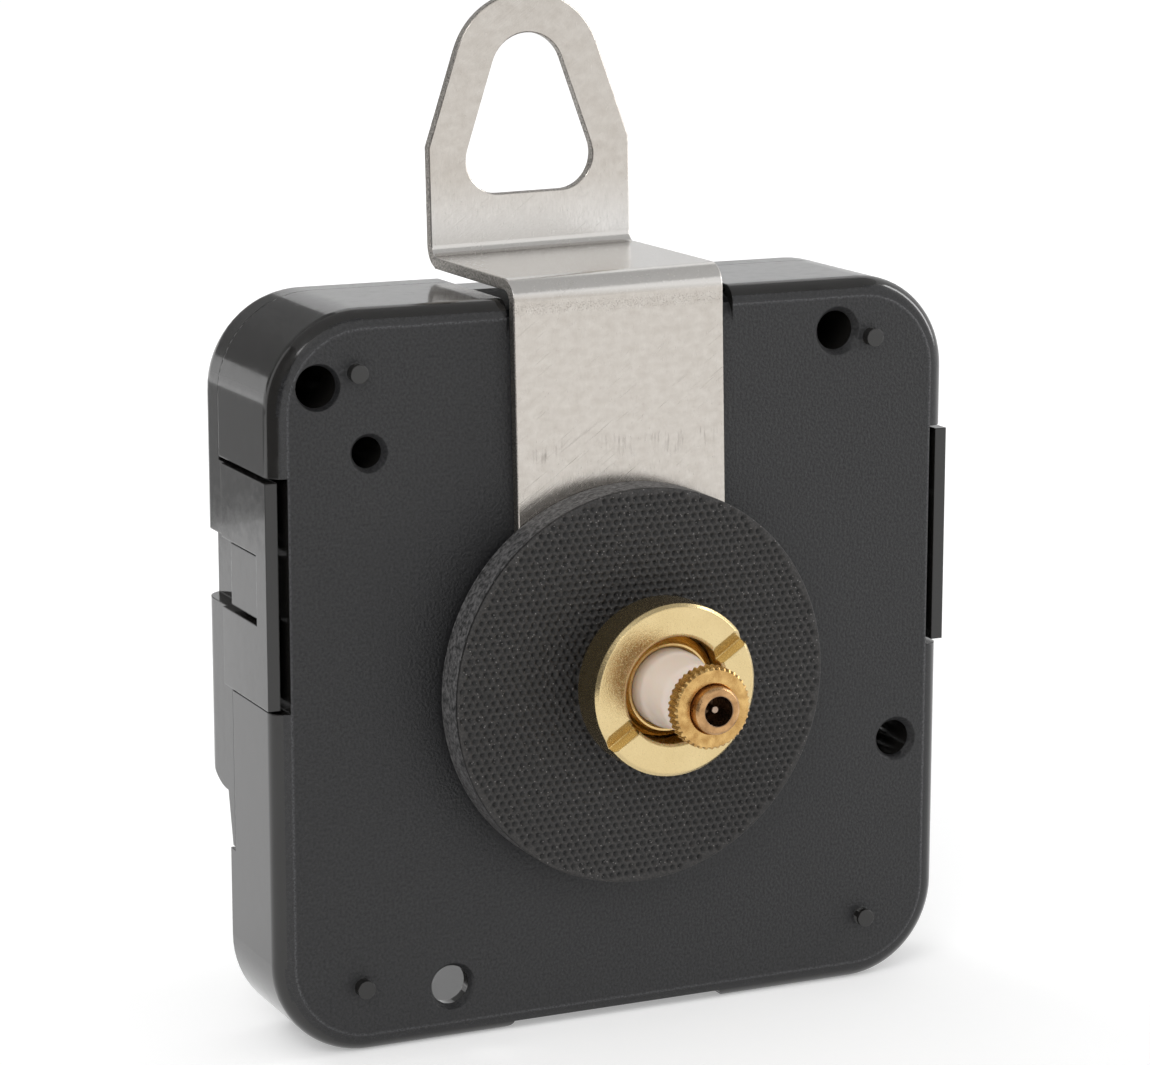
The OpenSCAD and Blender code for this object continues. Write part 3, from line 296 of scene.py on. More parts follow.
ridged_tree = bpy.data.node_groups.new("ridged_skin", "GeometryNodeTree")
ridged_tree.interface.new_socket("Geometry", in_out="OUTPUT", socket_type="NodeSocketGeometry")
for label, kind in (("Geometry", "Geometry"), ("Axis X", "Float"), ("Axis Z", "Float"),
                    ("Starts", "Float"), ("Turns per Metre", "Float"), ("Depth", "Float"),
                    ("Sharpness", "Float"), ("Inner Radius", "Float"), ("First Y", "Float"),
                    ("Last Y", "Float"), ("Run Out", "Float"), ("Finish", "Material")):
    ridged_tree.interface.new_socket(label, in_out="INPUT", socket_type="NodeSocket" + kind)
ridged = Nodes(ridged_tree)
given = ridged_tree.nodes.new("NodeGroupInput").outputs
where = ridged.add("ShaderNodeSeparateXYZ", ridged.add("GeometryNodeInputPosition")).node.outputs
side = ridged.math("SUBTRACT", where[0], given["Axis X"])
rise = ridged.math("SUBTRACT", where[2], given["Axis Z"])
outward = ridged.add("ShaderNodeCombineXYZ", side, 0.0, rise)
radius = ridged.vector("LENGTH", outward, out=1)
turn = ridged.math("MULTIPLY", ridged.math("ARCTAN2", rise, side), given["Starts"])
along = ridged.math("MULTIPLY", ridged.math("MULTIPLY", where[1], given["Turns per Metre"]), 2 * math.pi)
crest = ridged.math("MULTIPLY_ADD", ridged.math("COSINE", ridged.math("ADD", turn, along)), -0.5, 0.5)
shaped_crest = ridged.math("POWER", crest, given["Sharpness"])
fade = ridged.math("MULTIPLY", *(
    ridged.math("DIVIDE", ridged.math("SUBTRACT", *ends), given["Run Out"], clamp=True)
    for ends in ((where[1], given["First Y"]), (given["Last Y"], where[1]))))
reached = ridged.math("MULTIPLY", fade, ridged.math("GREATER_THAN", radius, given["Inner Radius"]))
cut_in = ridged.math("MULTIPLY", ridged.math("MULTIPLY", shaped_crest, reached), given["Depth"])
shift = ridged.vector("SCALE", ridged.vector("NORMALIZE", outward),
                      at={3: ridged.math("MULTIPLY", cut_in, -1.0)})
moved = ridged.add("GeometryNodeSetPosition", given["Geometry"], at={3: shift})
real = ridged.add("GeometryNodeRealizeInstances", moved)
coated = ridged.add("GeometryNodeSetMaterial", real, at={2: given["Finish"]})
ridged_tree.links.new(coated, ridged_tree.nodes.new("NodeGroupOutput").inputs[0])


def with_ridges(piece, finish, **sizes):
    """Cuts ridges round a turned piece: straight for a grip, or a helix where they also turn along Y."""
    cutter = piece.modifiers.new("ridges", "NODES")
    cutter.node_group = ridged_tree
    values = {"Axis X": 0.0, "Axis Z": 0.0, "Starts": 1.0, "Turns per Metre": 0.0, "Depth": 0.0,
              "Sharpness": 1.0, "Inner Radius": 0.0, "First Y": -1.0, "Last Y": 1.0, "Run Out": 0.0001}
    values.update({label.replace("_", " "): value for label, value in sizes.items()})
    values["Finish"] = finish.material
    for socket in ridged_tree.interface.items_tree:
        if socket.in_out == "INPUT" and socket.name in values:
            cutter[socket.identifier] = values[socket.name]
    return settled(piece)


soft_iron = Finish("soft_iron", Metallic=1.0)
punched = soft_iron.grain(0.3, detail=5)
soft_iron.set(
    Base_Color=soft_iron.blend(punched, (0.4, 0.4, 0.4), (0.56, 0.56, 0.55)),
    Roughness=soft_iron.band(punched, 0.3, 0.7, 0.3, 0.5),
    Normal=soft_iron.relief(punched, 0.01, soft_iron.soft_edges(0.08)),
)
bobbin_nylon = Finish("bobbin_nylon", Subsurface_Weight=0.1, Subsurface_Scale=0.001)
bobbin_nylon.set(
    Base_Color=bobbin_nylon.blend(bobbin_nylon.grain(3), (0.72, 0.68, 0.58), (0.78, 0.75, 0.66)),
    Roughness=bobbin_nylon.band(bobbin_nylon.grain(0.5), 0.3, 0.7, 0.38, 0.5),
    Normal=bobbin_nylon.relief(bobbin_nylon.grain(0.6), 0.01, bobbin_nylon.soft_edges(0.1)),
)
enamelled = Finish("enamelled_copper", Metallic=1.0, Coat_Weight=0.6, Coat_Roughness=0.08)
enamelled.set(
    Base_Color=enamelled.blend(enamelled.grain(0.8, stretch=(4, 4, 0.3)),
                               (0.5, 0.16, 0.06), (0.72, 0.28, 0.1)),
    Roughness=enamelled.band(enamelled.grain(0.3), 0.3, 0.7, 0.22, 0.34),
    Normal=enamelled.relief(enamelled.grain(0.12, detail=3, stretch=(6, 6, 1)), 0.004),
)
# The winding's side is sliced into rings, three to a turn, and every third ring is drawn in.
bobbin_low, bobbin_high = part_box("coil_bobbin")
coil_middle = (bobbin_low + bobbin_high) / 2
coil_r, wire_pitch, wire_groove, on_side = 3.3, 0.4, 0.08, 0.02
winding = skin("coil_winding")
wound = [face for face in winding.faces if abs(face.normal.z) < 0.1
         and all(abs((vert.co - coil_middle).xy.length - coil_r * MM) < on_side * MM for vert in face.verts)]
wound_z = [vert.co.z for face in wound for vert in face.verts]
wound_low, wound_high = min(wound_z), max(wound_z)
layers = 3 * round((wound_high - wound_low) / (wire_pitch * MM))
grooves = []
wound += dict.fromkeys(part for face in wound for part in (*face.edges, *face.verts))
for layer in range(1, layers):
    level = wound_low + (wound_high - wound_low) * layer / layers
    sliced = bmesh.ops.bisect_plane(winding, geom=wound, plane_co=(0, 0, level), plane_no=(0, 0, 1))
    wound = sliced["geom"]
    if layer % 3 == 0:
        grooves += [part for part in sliced["geom_cut"] if isinstance(part, bmesh.types.BMVert)]
for vert in grooves:
    vert.co.xy += (coil_middle.xy - vert.co.xy) * wire_groove / coil_r
fitted(eased(made("coil_winding_piece", winding, smooth=45)), "case", enamelled)
for node, slot, finish in (("coil_core", "soft_iron", soft_iron),
                           ("coil_bobbin", "bobbin_plastic", bobbin_nylon),
                           ("stator", "soft_iron", soft_iron)):
    fitted(eased(made(node + "_piece", skin(node))), "case", finish)


# Rotor: a ring of bonded ferrite on a moulded hub with eight leaves, pressed on a thin steel arbor.
# It turns between the stator's two poles.
ferrite = Finish("bonded_ferrite")
ferrite.set(
    Base_Color=ferrite.blend(ferrite.grain(0.25, detail=5), (0.03, 0.03, 0.032), (0.07, 0.07, 0.074)),
    Roughness=ferrite.band(ferrite.grain(0.2), 0.3, 0.7, 0.45, 0.65),
    Normal=ferrite.relief(ferrite.grain(0.2, detail=4), 0.02, ferrite.soft_edges(0.1)),
)
gear_acetal = Finish("gear_acetal", Subsurface_Weight=0.15, Subsurface_Scale=0.0008)
gear_acetal.set(
    Base_Color=gear_acetal.blend(gear_acetal.grain(4), (0.74, 0.7, 0.61), (0.8, 0.77, 0.69)),
    Roughness=gear_acetal.band(gear_acetal.grain(0.5), 0.3, 0.7, 0.34, 0.46),
    Normal=gear_acetal.relief(gear_acetal.grain(0.5), 0.006, gear_acetal.soft_edges(0.05)),
)
arbor_steel = Finish("arbor_steel", Metallic=1.0, Anisotropic=0.5)
ground = arbor_steel.grain(0.08, detail=4, stretch=(8, 1, 8))
arbor_steel.set(
    Base_Color=arbor_steel.blend(arbor_steel.grain(1), (0.34, 0.24, 0.18), (0.46, 0.35, 0.27)),
    Roughness=arbor_steel.band(ground, 0.3, 0.7, 0.18, 0.34),
    Normal=arbor_steel.relief(ground, 0.003, arbor_steel.soft_edges(0.08)),
)
for node, slot, finish in (("rotor_magnet", "magnet", ferrite), ("rotor_pinion", "gear_plastic", gear_acetal),
                           ("rotor_arbor", "arbor_steel", arbor_steel)):
    fitted(eased(made(node + "_piece", skin(node)), 0.03), "rotor", finish)


# Wheels of the train: acetal, each moulded in one piece with its pinion and pivots. The seconds
# wheel is pressed on its steel arbor, whose tip carries the seconds hand.
for node, body in (("intermediate_wheel", "intermediate"), ("seconds_wheel", "seconds"),
                   ("third_wheel", "third"), ("minute_wheel", "minute"), ("motion_wheel", "setting")):
    fitted(eased(made(node + "_piece", skin(node))), body, gear_acetal)
fitted(eased(made("seconds_arbor_piece", skin("seconds_arbor")), 0.06), "seconds", arbor_steel)


# Train bridge: a dark moulded plate on five posts that holds the wheels' rear pivots.
# Its posts' pins are the front case's own.
bridge_plastic = Finish("bridge_plastic")
bridge_plastic.set(
    Base_Color=bridge_plastic.blend(bridge_plastic.grain(5), (0.03, 0.03, 0.033), (0.045, 0.045, 0.048)),
    Roughness=bridge_plastic.band(bridge_plastic.grain(0.4), 0.3, 0.7, 0.4, 0.52),
    Normal=bridge_plastic.relief(bridge_plastic.grain(0.3), 0.01, bridge_plastic.soft_edges(0.12)),
)
fitted(eased(made("train_bridge_piece", skin("train_bridge")), 0.1), "case", bridge_plastic)


# Rear cover: a glossy black lid of the same plastic, snapped on by a tab with a window on each
# side. It is open over the cell.
cover_gloss = Finish("cover_gloss", Coat_Weight=0.2, Coat_Roughness=0.04)
cover_gloss.set(
    Base_Color=cover_gloss.blend(cover_gloss.grain(8, detail=3),
                                 (0.008, 0.0075, 0.007), (0.015, 0.014, 0.013)),
    Roughness=cover_gloss.band(cover_gloss.grain(0.7, detail=6), 0.3, 0.75, 0.08, 0.22),
    Normal=cover_gloss.relief(cover_gloss.grain(2.2, detail=3), 0.014, cover_gloss.soft_edges(0.16)),
)
fitted(eased(made("rear_cover_piece", skin("rear_cover"), smooth=25)), "case", cover_gloss)


# Threaded bush: turned brass with a flange inside the case, a fine thread in front of it and a bore
# for the hour tube.
bush_profile = [(3.0, 2.05), (3.0, -8.25), (3.15, -8.4), (3.3, -8.4), (3.65, -8.05),
                *rows(4.0, -7.7, -0.85, 0.09), (4.0, 1.42), (6.0, 1.42), (6.0, 2.05)]
turned_brass = Finish("turned_brass", Metallic=1.0, Anisotropic=0.3)
tool_marks = turned_brass.grain(0.07, detail=3, stretch=(10, 1, 10))
turned_brass.set(
    Base_Color=turned_brass.blend(turned_brass.grain(1.5, detail=4),
                                  (0.62, 0.42, 0.17), (0.74, 0.53, 0.24)),
    Roughness=turned_brass.band(tool_marks, 0.3, 0.7, 0.2, 0.36),
    Normal=turned_brass.relief(tool_marks, 0.004),
)
bush = turned("threaded_bush_piece", bush_profile, steps=72)
thread_pitch = 0.75
with_ridges(bush, turned_brass, Turns_per_Metre=1 / (thread_pitch * MM), Depth=0.38 * MM, Sharpness=0.8,
            Inner_Radius=3.8 * MM, First_Y=-8.1 * MM, Last_Y=-0.9 * MM, Run_Out=0.3 * MM)
fitted(bush, "case")


# Hanger: nickelled sheet steel, punched with a loop and a hole for the bush and bent twice over the
# case's top. Its sheared edges are rough, and its face is rubbed and scratched. Its flat top and
# the loop's foot are painted lighter, a painted sheen.
sheet_steel = Finish("hanger_steel", Metallic=1.0)
brushed = sheet_steel.grain(0.09, detail=4, stretch=(1, 1, 5))
height = sheet_steel.add("ShaderNodeSeparateXYZ", sheet_steel.place).node.outputs[2]


def between(low, high, soft):
    """1 where the steel's height is between two heights in mm, fading out over soft mm."""
    return sheet_steel.math("MULTIPLY", sheet_steel.band(height, low - soft, low),
                            sheet_steel.band(height, high, high + soft, 1.0, 0.0))


scratch_slope = math.radians(-36)
scratch_place = sheet_steel.add("ShaderNodeMapping", sheet_steel.place, (0, 0, 0), (0, scratch_slope, 0),
                                (5, 1, 0.09), vector_type="TEXTURE")
scratches = sheet_steel.add("ShaderNodeTexNoise", scratch_place, at={2: 1.0, 3: 3.0, 4: 0.6})
scratched = sheet_steel.math("MULTIPLY", sheet_steel.band(scratches, 0.61, 0.74),
                             sheet_steel.math("MULTIPLY", sheet_steel.band(sheet_steel.grain(4), 0.45, 0.58),
                                              sheet_steel.band(height, 20.0, 27.0, 1.0, 0.35)))
# Heights in mm: the rub marks, the crazed line under the front bend, the flat top, the loop's foot
rub_low, rub_high, crazed_low, crazed_high, flat_low, foot_high = 16.3, 17.6, 27.5, 27.9, 28.8, 31.5
strokes = sheet_steel.grain(0.22, detail=3, stretch=(1, 1, 9))
rubs = sheet_steel.math("MULTIPLY", sheet_steel.band(strokes, 0.52, 0.78),
                        sheet_steel.math("MULTIPLY", between(rub_low, rub_high, 0.4),
                                         sheet_steel.band(sheet_steel.grain(3.2), 0.48, 0.6)))
crazed = sheet_steel.math("MULTIPLY", sheet_steel.band(sheet_steel.grain(0.1, detail=4), 0.5, 0.72),
                          between(crazed_low, crazed_high, 0.4))
marks = sheet_steel.math("MAXIMUM", scratched, sheet_steel.math("MAXIMUM", rubs, crazed))
worn = sheet_steel.band(sheet_steel.grain(0.9, detail=8, stretch=(1, 1, 0.7)), 0.3, 0.7)
flat_tone = sheet_steel.blend(worn, (0.505, 0.467, 0.424), (0.575, 0.54, 0.497))
# The flat top and the loop's foot are painted lighter: a painted sheen for the light they reflect.
foot = sheet_steel.math("MULTIPLY", sheet_steel.band(height, flat_low - 0.4, flat_low),
                        sheet_steel.band(height, foot_high, foot_high + 4, 1.0, 0.0))
steel_tone_with_top_sheen = sheet_steel.blend(foot, flat_tone, (0.7, 0.68, 0.655))
sheet_steel.set(
    Base_Color=sheet_steel.blend(sheet_steel.math("MULTIPLY", marks, 0.78), steel_tone_with_top_sheen, (0.27, 0.245, 0.22)),
    Roughness=sheet_steel.band(sheet_steel.math("ADD", brushed, marks), 0.3, 1.2, 0.17, 0.42),
    Normal=sheet_steel.relief(brushed, 0.004, sheet_steel.relief(scratches, 0.004)),
)
sheared_steel = Finish("hanger_sheared_edge", Metallic=1.0)
torn = sheared_steel.grain(0.12, detail=5)
sheared_steel.set(
    Base_Color=sheared_steel.blend(sheared_steel.band(torn, 0.35, 0.65),
                                   (0.1, 0.095, 0.09), (0.5, 0.47, 0.43)),
    Roughness=sheared_steel.band(torn, 0.3, 0.7, 0.6, 0.35),
    Normal=sheared_steel.relief(torn, 0.04),
)
# The cut edges look across the sheet: sideways everywhere, and up or down on its two uprights.
strap_end, sheet_back, loop_start, loop_front = 28.0, 0.1, 31.2, 14.8
hanger = made("hanger_piece", skin("hanger"), smooth=25)
hanger.data.materials.append(sheet_steel.material)
hanger.data.materials.append(sheared_steel.material)
for face in hanger.data.polygons:
    y, z = face.center.y / MM, face.center.z / MM
    upright = y < sheet_back and z < strap_end or y > loop_front and z > loop_start
    across = abs(face.normal.y) < 0.3 if upright else abs(face.normal.x) > 0.8
    face.material_index = int(across)
fitted(eased(hanger, 0.1, angle=40), "case")


# Rubber washer: a thick black ring, cut from moulded sheet. Its face is a lattice of small
# six-sided pits and its cut rim is rough.
washer_low, washer_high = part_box("rubber_washer")
washer_z = (washer_low.z + washer_high.z) / 2 / MM
washer_r = (washer_high.x - washer_low.x) / 2 / MM
washer_bore = 5.0
front_y, back_y = washer_low.y / MM, washer_high.y / MM
pit_pitch, pit_r, pit_floor_r, pit_depth, pit_margin = 0.64, 0.3, 0.1, 0.2, 0.37
rim_round, rim_strip = 0.06, 1.1


def circle(r, steps):
    """Points round a circle of radius r."""
    return [Vector((r * math.cos(2 * math.pi * i / steps), r * math.sin(2 * math.pi * i / steps)))
            for i in range(steps)]


def pit_centres():
    """Middles of the pits: a lattice of triangles over the ring, clear of both its edges."""
    across, up = pit_pitch, pit_pitch * math.sqrt(3) / 2
    reach = int(washer_r / up) + 2
    for row in range(-reach, reach + 1):
        for column in range(-reach, reach + 1):
            middle = Vector(((column + row % 2 / 2) * across, row * up))
            if washer_bore + pit_margin < middle.length < washer_r - pit_margin:
                yield middle


def hexagon(middle, r):
    """Six corners, r from the middle."""
    return [middle + Vector((r * math.sin(math.pi * i / 3), r * math.cos(math.pi * i / 3))) for i in range(6)]


washer = bmesh.new()
outer, inner = circle(washer_r - rim_round, 180), circle(washer_bore + rim_round, 72)
pits_flat = [(middle, hexagon(middle, pit_r)) for middle in pit_centres()]
flat, loops = [], []
for outline in [outer, inner] + [corners for _, corners in pits_flat]:
    loops.append(list(range(len(flat), len(flat) + len(outline))))
    flat += outline
edges = [(loop[i - 1], loop[i]) for loop in loops for i in range(len(loop))]
points, _, triangles, origins, _, _ = geometry.delaunay_2d_cdt(flat, edges, [], 0, 1e-5)
face_verts = [washer.verts.new((MM * p.x, MM * front_y, MM * (washer_z + p.y))) for p in points]
new_index = {old: new for new, olds in enumerate(origins) for old in olds}
pit_of = {new_index[i]: n for n, loop in enumerate(loops[2:]) for i in loop}
for triangle in triangles:
    middle = sum((points[i] for i in triangle), Vector((0, 0))) / 3
    in_one_pit = len({pit_of.get(i, -1) for i in triangle}) == 1 and triangle[0] in pit_of
    if washer_bore + rim_round / 2 < middle.length < washer_r - rim_round / 2 and not in_one_pit:
        washer.faces.new([face_verts[i] for i in triangle])
for (middle, _), loop in zip(pits_flat, loops[2:]):
    rim = [face_verts[new_index[i]] for i in loop]
    floor = [washer.verts.new((MM * p.x, MM * (front_y + pit_depth), MM * (washer_z + p.y)))
             for p in hexagon(middle, pit_floor_r)]
    for i in range(6):
        washer.faces.new((rim[i - 1], rim[i], floor[i], floor[i - 1]))
    washer.faces.new(floor)
walls = ((loops[0], outer, washer_r), (loops[1], inner, washer_bore))
back_rings = []
for loop, outline, wall_r in walls:
    ring = [face_verts[new_index[i]] for i in loop]
    steps = [(wall_r, front_y + rim_round), (wall_r, front_y + rim_strip), (wall_r, back_y - rim_strip),
             (wall_r, back_y - rim_round), (outline[0].length, back_y)]
    for r, y in steps:
        following = [washer.verts.new((MM * r * p.x / p.length, MM * y, MM * (washer_z + r * p.y / p.length)))
                     for p in outline]
        for i in range(len(ring)):
            washer.faces.new((ring[i - 1], ring[i], following[i], following[i - 1]))
        ring = following
    back_rings.append(ring)
bmesh.ops.bridge_loops(washer, edges=[washer.edges.get((ring[i - 1], ring[i])) for ring in back_rings
                                      for i in range(len(ring))])
bmesh.ops.recalc_face_normals(washer, faces=washer.faces)
washer_rubber = Finish("washer_rubber")
crumb = washer_rubber.grain(0.16, detail=5)
cells = washer_rubber.add("ShaderNodeTexVoronoi", washer_rubber.place, None, 2.6)
glint = washer_rubber.band(cells, 0.17, 0.06)
depth = washer_rubber.add("ShaderNodeSeparateXYZ", washer_rubber.place).node.outputs[1]
in_pit = washer_rubber.band(depth, front_y, front_y + pit_depth)
on_rim = washer_rubber.band(depth, front_y + pit_depth, front_y + pit_depth + 0.1)
ridge_tone = washer_rubber.blend(washer_rubber.band(crumb, 0.4, 0.66),
                                 (0.011, 0.01, 0.0095), (0.045, 0.042, 0.04))
# The pits' floors are painted near black: painted shade in the hollows of the lattice.
face_tone_with_pit_shade = washer_rubber.blend(in_pit, ridge_tone, (0.006, 0.006, 0.006))
torn_rim = washer_rubber.grain(0.34, detail=6)
rim_tone = washer_rubber.blend(washer_rubber.band(torn_rim, 0.35, 0.65),
                               (0.03, 0.03, 0.03), (0.16, 0.156, 0.156))
rubber_tone = washer_rubber.blend(on_rim, face_tone_with_pit_shade, rim_tone)
washer_rubber.set(
    Base_Color=washer_rubber.blend(glint, rubber_tone, (0.2, 0.19, 0.185)),
    Roughness=washer_rubber.band(crumb, 0.3, 0.7, 0.42, 0.75),
    Normal=washer_rubber.relief(torn_rim, 0.12, washer_rubber.relief(crumb, 0.06)),
)
fitted(eased(made("rubber_washer_piece", washer, smooth=50)), "case", washer_rubber)


# Centre nut: a thick round nut of polished brass, with one tapered slot milled across its face. It
# clamps the dial against the washer.
nut_face, nut_seat, nut_r, nut_hole = -9.65, -6.25, 6.55, 4.05
nut_profile = [(nut_hole, nut_seat), (nut_r - 0.2, nut_seat), (nut_r, nut_seat - 0.2),
               (nut_r, nut_face + 0.27), (nut_r - 0.27, nut_face), (nut_hole + 0.2, nut_face),
               (nut_hole, nut_face + 0.2)]
slot_turn, slot_half, slot_valley, slot_deep = math.radians(34), 0.725, 0.5, 0.9
nut = turned("centre_nut_piece", nut_profile, steps=128)
cutter_mesh = bmesh.new()
ends = []
for reach in (-9.0, 9.0):
    section = [(slot_half, nut_face - 1.0), (slot_half, nut_face), (-slot_valley, nut_face + slot_deep),
               (-slot_half, nut_face), (-slot_half, nut_face - 1.0)]
    ends.append([cutter_mesh.verts.new((
        MM * (reach * math.cos(slot_turn) - across * math.sin(slot_turn)), MM * y,
        MM * (reach * math.sin(slot_turn) + across * math.cos(slot_turn)))) for across, y in section])
for i in range(len(section)):
    cutter_mesh.faces.new((ends[0][i - 1], ends[0][i], ends[1][i], ends[1][i - 1]))
for end in ends:
    cutter_mesh.faces.new(end)
bmesh.ops.recalc_face_normals(cutter_mesh, faces=cutter_mesh.faces)
cutter = made("slot_cutter", cutter_mesh)
milled = nut.modifiers.new("milled slot", "BOOLEAN")
milled.operation, milled.object, milled.solver = "DIFFERENCE", cutter, "EXACT"
settled(nut)
bpy.data.objects.remove(cutter)
polished_brass = Finish("polished_brass", Metallic=1.0)
speckle = polished_brass.grain(0.1, detail=5)
polished_brass.set(
    Base_Color=polished_brass.blend(polished_brass.grain(2, detail=4),
                                    (0.63, 0.485, 0.245), (0.73, 0.58, 0.315)),
    Roughness=polished_brass.band(speckle, 0.35, 0.7, 0.15, 0.32),
    Normal=polished_brass.relief(speckle, 0.009, polished_brass.soft_edges(0.06)),
)
fitted(eased(nut, 0.05, angle=25), "dial_nut", polished_brass)


# Hour wheel: pale plastic, with a long tube that runs in the bush and a tapered neck for the hour
# hand. Its toothed wheel is inside the case.
hour_plastic = Finish("hour_plastic", Subsurface_Weight=0.3, Subsurface_Scale=0.0012)
hour_plastic.set(
    Base_Color=hour_plastic.blend(hour_plastic.grain(2, detail=4), (0.79, 0.67, 0.58), (0.83, 0.72, 0.63)),
    Roughness=hour_plastic.band(hour_plastic.grain(0.3), 0.3, 0.7, 0.36, 0.5),
    Normal=hour_plastic.relief(hour_plastic.grain(0.3), 0.006, hour_plastic.soft_edges(0.08)),
)
fitted(eased(made("hour_wheel_piece", skin("hour_wheel"))), "hour", hour_plastic)


# Minute tube: brass tube with a cut pinion, worn to a coppery tone, and painted dark inside its bore
# as shade. A round knurled nut on its thread holds the minute hand.
worn_and_bore_shaded_brass = Finish("worn_and_bore_shaded_brass", Metallic=1.0)
tarnish = worn_and_bore_shaded_brass.grain(0.9, detail=5)
outer_tone = worn_and_bore_shaded_brass.blend(worn_and_bore_shaded_brass.band(tarnish, 0.35, 0.65), (0.36, 0.2, 0.09), (0.6, 0.36, 0.17))
from_axis = worn_and_bore_shaded_brass.vector("LENGTH", worn_and_bore_shaded_brass.vector("MULTIPLY", worn_and_bore_shaded_brass.place, (1, 0, 1)), out=1)
# Inside the bore the brass is painted dark brown: a painted shade in the tube's hollow.
clear_of_bore_shade = worn_and_bore_shaded_brass.band(from_axis, 1.12, 1.2)
worn_and_bore_shaded_brass.set(
    Base_Color=worn_and_bore_shaded_brass.blend(clear_of_bore_shade, (0.2, 0.13, 0.085), outer_tone),
    Roughness=worn_and_bore_shaded_brass.band(worn_and_bore_shaded_brass.grain(0.15, detail=4), 0.3, 0.7, 0.22, 0.42),
    Normal=worn_and_bore_shaded_brass.relief(worn_and_bore_shaded_brass.grain(0.12, detail=3), 0.008, worn_and_bore_shaded_brass.soft_edges(0.05)),
)
fitted(eased(made("minute_tube_piece", skin("minute_tube")), 0.05), "minute", worn_and_bore_shaded_brass)

nut_front, nut_back, knurl_r, knurl_root, nut_bore = -15.58, -14.18, 3.06, 2.86, 1.8
knurled_profile = [(nut_bore, nut_back), (knurl_root, nut_back), (knurl_r, nut_back - 0.16),
                   (knurl_r, nut_back - 0.5), (knurl_r, nut_front + 0.5), (knurl_r, nut_front + 0.16),
                   (knurl_root, nut_front), (nut_bore + 0.12, nut_front), (nut_bore, nut_front + 0.12)]
knurled_brass = Finish("knurled_brass", Metallic=1.0)
patina = knurled_brass.grain(0.7, detail=5)
knurled_brass.set(
    Base_Color=knurled_brass.blend(knurled_brass.band(patina, 0.35, 0.65),
                                   (0.44, 0.25, 0.085), (0.68, 0.44, 0.17)),
    Roughness=knurled_brass.band(knurled_brass.grain(0.12, detail=4), 0.3, 0.7, 0.2, 0.4),
    Normal=knurled_brass.relief(knurled_brass.grain(0.12, detail=3), 0.008),
)
minute_nut = turned("minute_nut_piece", knurled_profile, steps=400)
with_ridges(minute_nut, knurled_brass, Starts=40.0, Depth=0.17 * MM, Sharpness=1.4, Inner_Radius=2.9 * MM)
fitted(minute_nut, "hand_nut")


# Setting knob: a black moulded wheel pressed on the motion wheel's shaft behind the cover, with
# straight grooves round it for a finger.
knob_low, knob_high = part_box("setting_knob")
knob_x, knob_z = (knob_low.x + knob_high.x) / 2 / MM, (knob_low.z + knob_high.z) / 2 / MM
knob_y0, knob_y1 = knob_low.y / MM, knob_high.y / MM
knob_r, knob_hole = 4.2, 0.67
knob_profile = [(knob_hole, knob_y0), (knob_r - 0.25, knob_y0), (knob_r, knob_y0 + 0.25),
                (knob_r, knob_y0 + 1), (knob_r, knob_y1 - 0.3), (knob_r - 0.3, knob_y1), (2.9, knob_y1),
                (2.7, knob_y1 - 0.35), (1.3, knob_y1 - 0.35), (1.15, knob_y1 - 0.1),
                (knob_hole, knob_y1 - 0.1)]
knob_plastic = Finish("knob_plastic")
knob_plastic.set(
    Base_Color=knob_plastic.blend(knob_plastic.grain(2), (0.02, 0.02, 0.022), (0.035, 0.035, 0.037)),
    Roughness=knob_plastic.band(knob_plastic.grain(0.3, detail=4), 0.3, 0.7, 0.24, 0.4),
    Normal=knob_plastic.relief(knob_plastic.grain(0.3), 0.008, knob_plastic.soft_edges(0.08)),
)
knob = turned("setting_knob_piece", knob_profile, centre=(knob_x, knob_z), steps=288)
with_ridges(knob, knob_plastic, Axis_X=knob_x * MM, Axis_Z=knob_z * MM, Starts=24.0, Depth=0.3 * MM,
            Sharpness=2.0, Inner_Radius=4.0 * MM)
fitted(knob, "setting")


# Studio: a plain white floor under the case, a large soft lamp from the upper left, weaker ones
# from the right and from behind, dull cards for the gloss to mirror, and a camera where the
# photographer stood.
def white_to_the_eye(nodes, shade):
    """Full white where the camera, a gloss or glass looks, and the shade for light on the object."""
    path = nodes.add("ShaderNodeLightPath").node.outputs
    seen = nodes.math("ADD", nodes.math("ADD", path[0], path[3]), path[6], clamp=True)
    return nodes.math("ADD", nodes.math("MULTIPLY", seen, 1 - shade), shade)


world = bpy.context.scene.world or bpy.data.worlds.new("studio")
bpy.context.scene.world = world
world.use_nodes = True
backdrop = world.node_tree.nodes["Background"]
backdrop.inputs[0].default_value = (1, 1, 1, 1)
world.node_tree.links.new(white_to_the_eye(Nodes(world.node_tree), 0.6), backdrop.inputs[1])

floor_mesh = bmesh.new()
bmesh.ops.create_grid(floor_mesh, x_segments=8, y_segments=8, size=3)
case_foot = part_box("front_case")[0].z
for vert in floor_mesh.verts:
    vert.co.z = case_foot
studio_floor = made("studio_floor", floor_mesh)
paper = Finish("studio_paper", Roughness=0.9)
paper.set(Base_Color=paper.blend(paper.grain(40), (0.8, 0.8, 0.8), (0.82, 0.82, 0.82)),
          Normal=paper.relief(paper.grain(2), 0.02))
off_middle = paper.band(paper.vector("LENGTH", paper.place, out=1), 100.0, 900.0, 0.68, 0.5)
lift = paper.math("SUBTRACT", white_to_the_eye(paper, 0.0), off_middle, clamp=True)
paper.shader.inputs["Emission Color"].default_value = (1, 1, 1, 1)
paper.set(Emission_Strength=lift)
studio_floor.data.materials.append(paper.material)


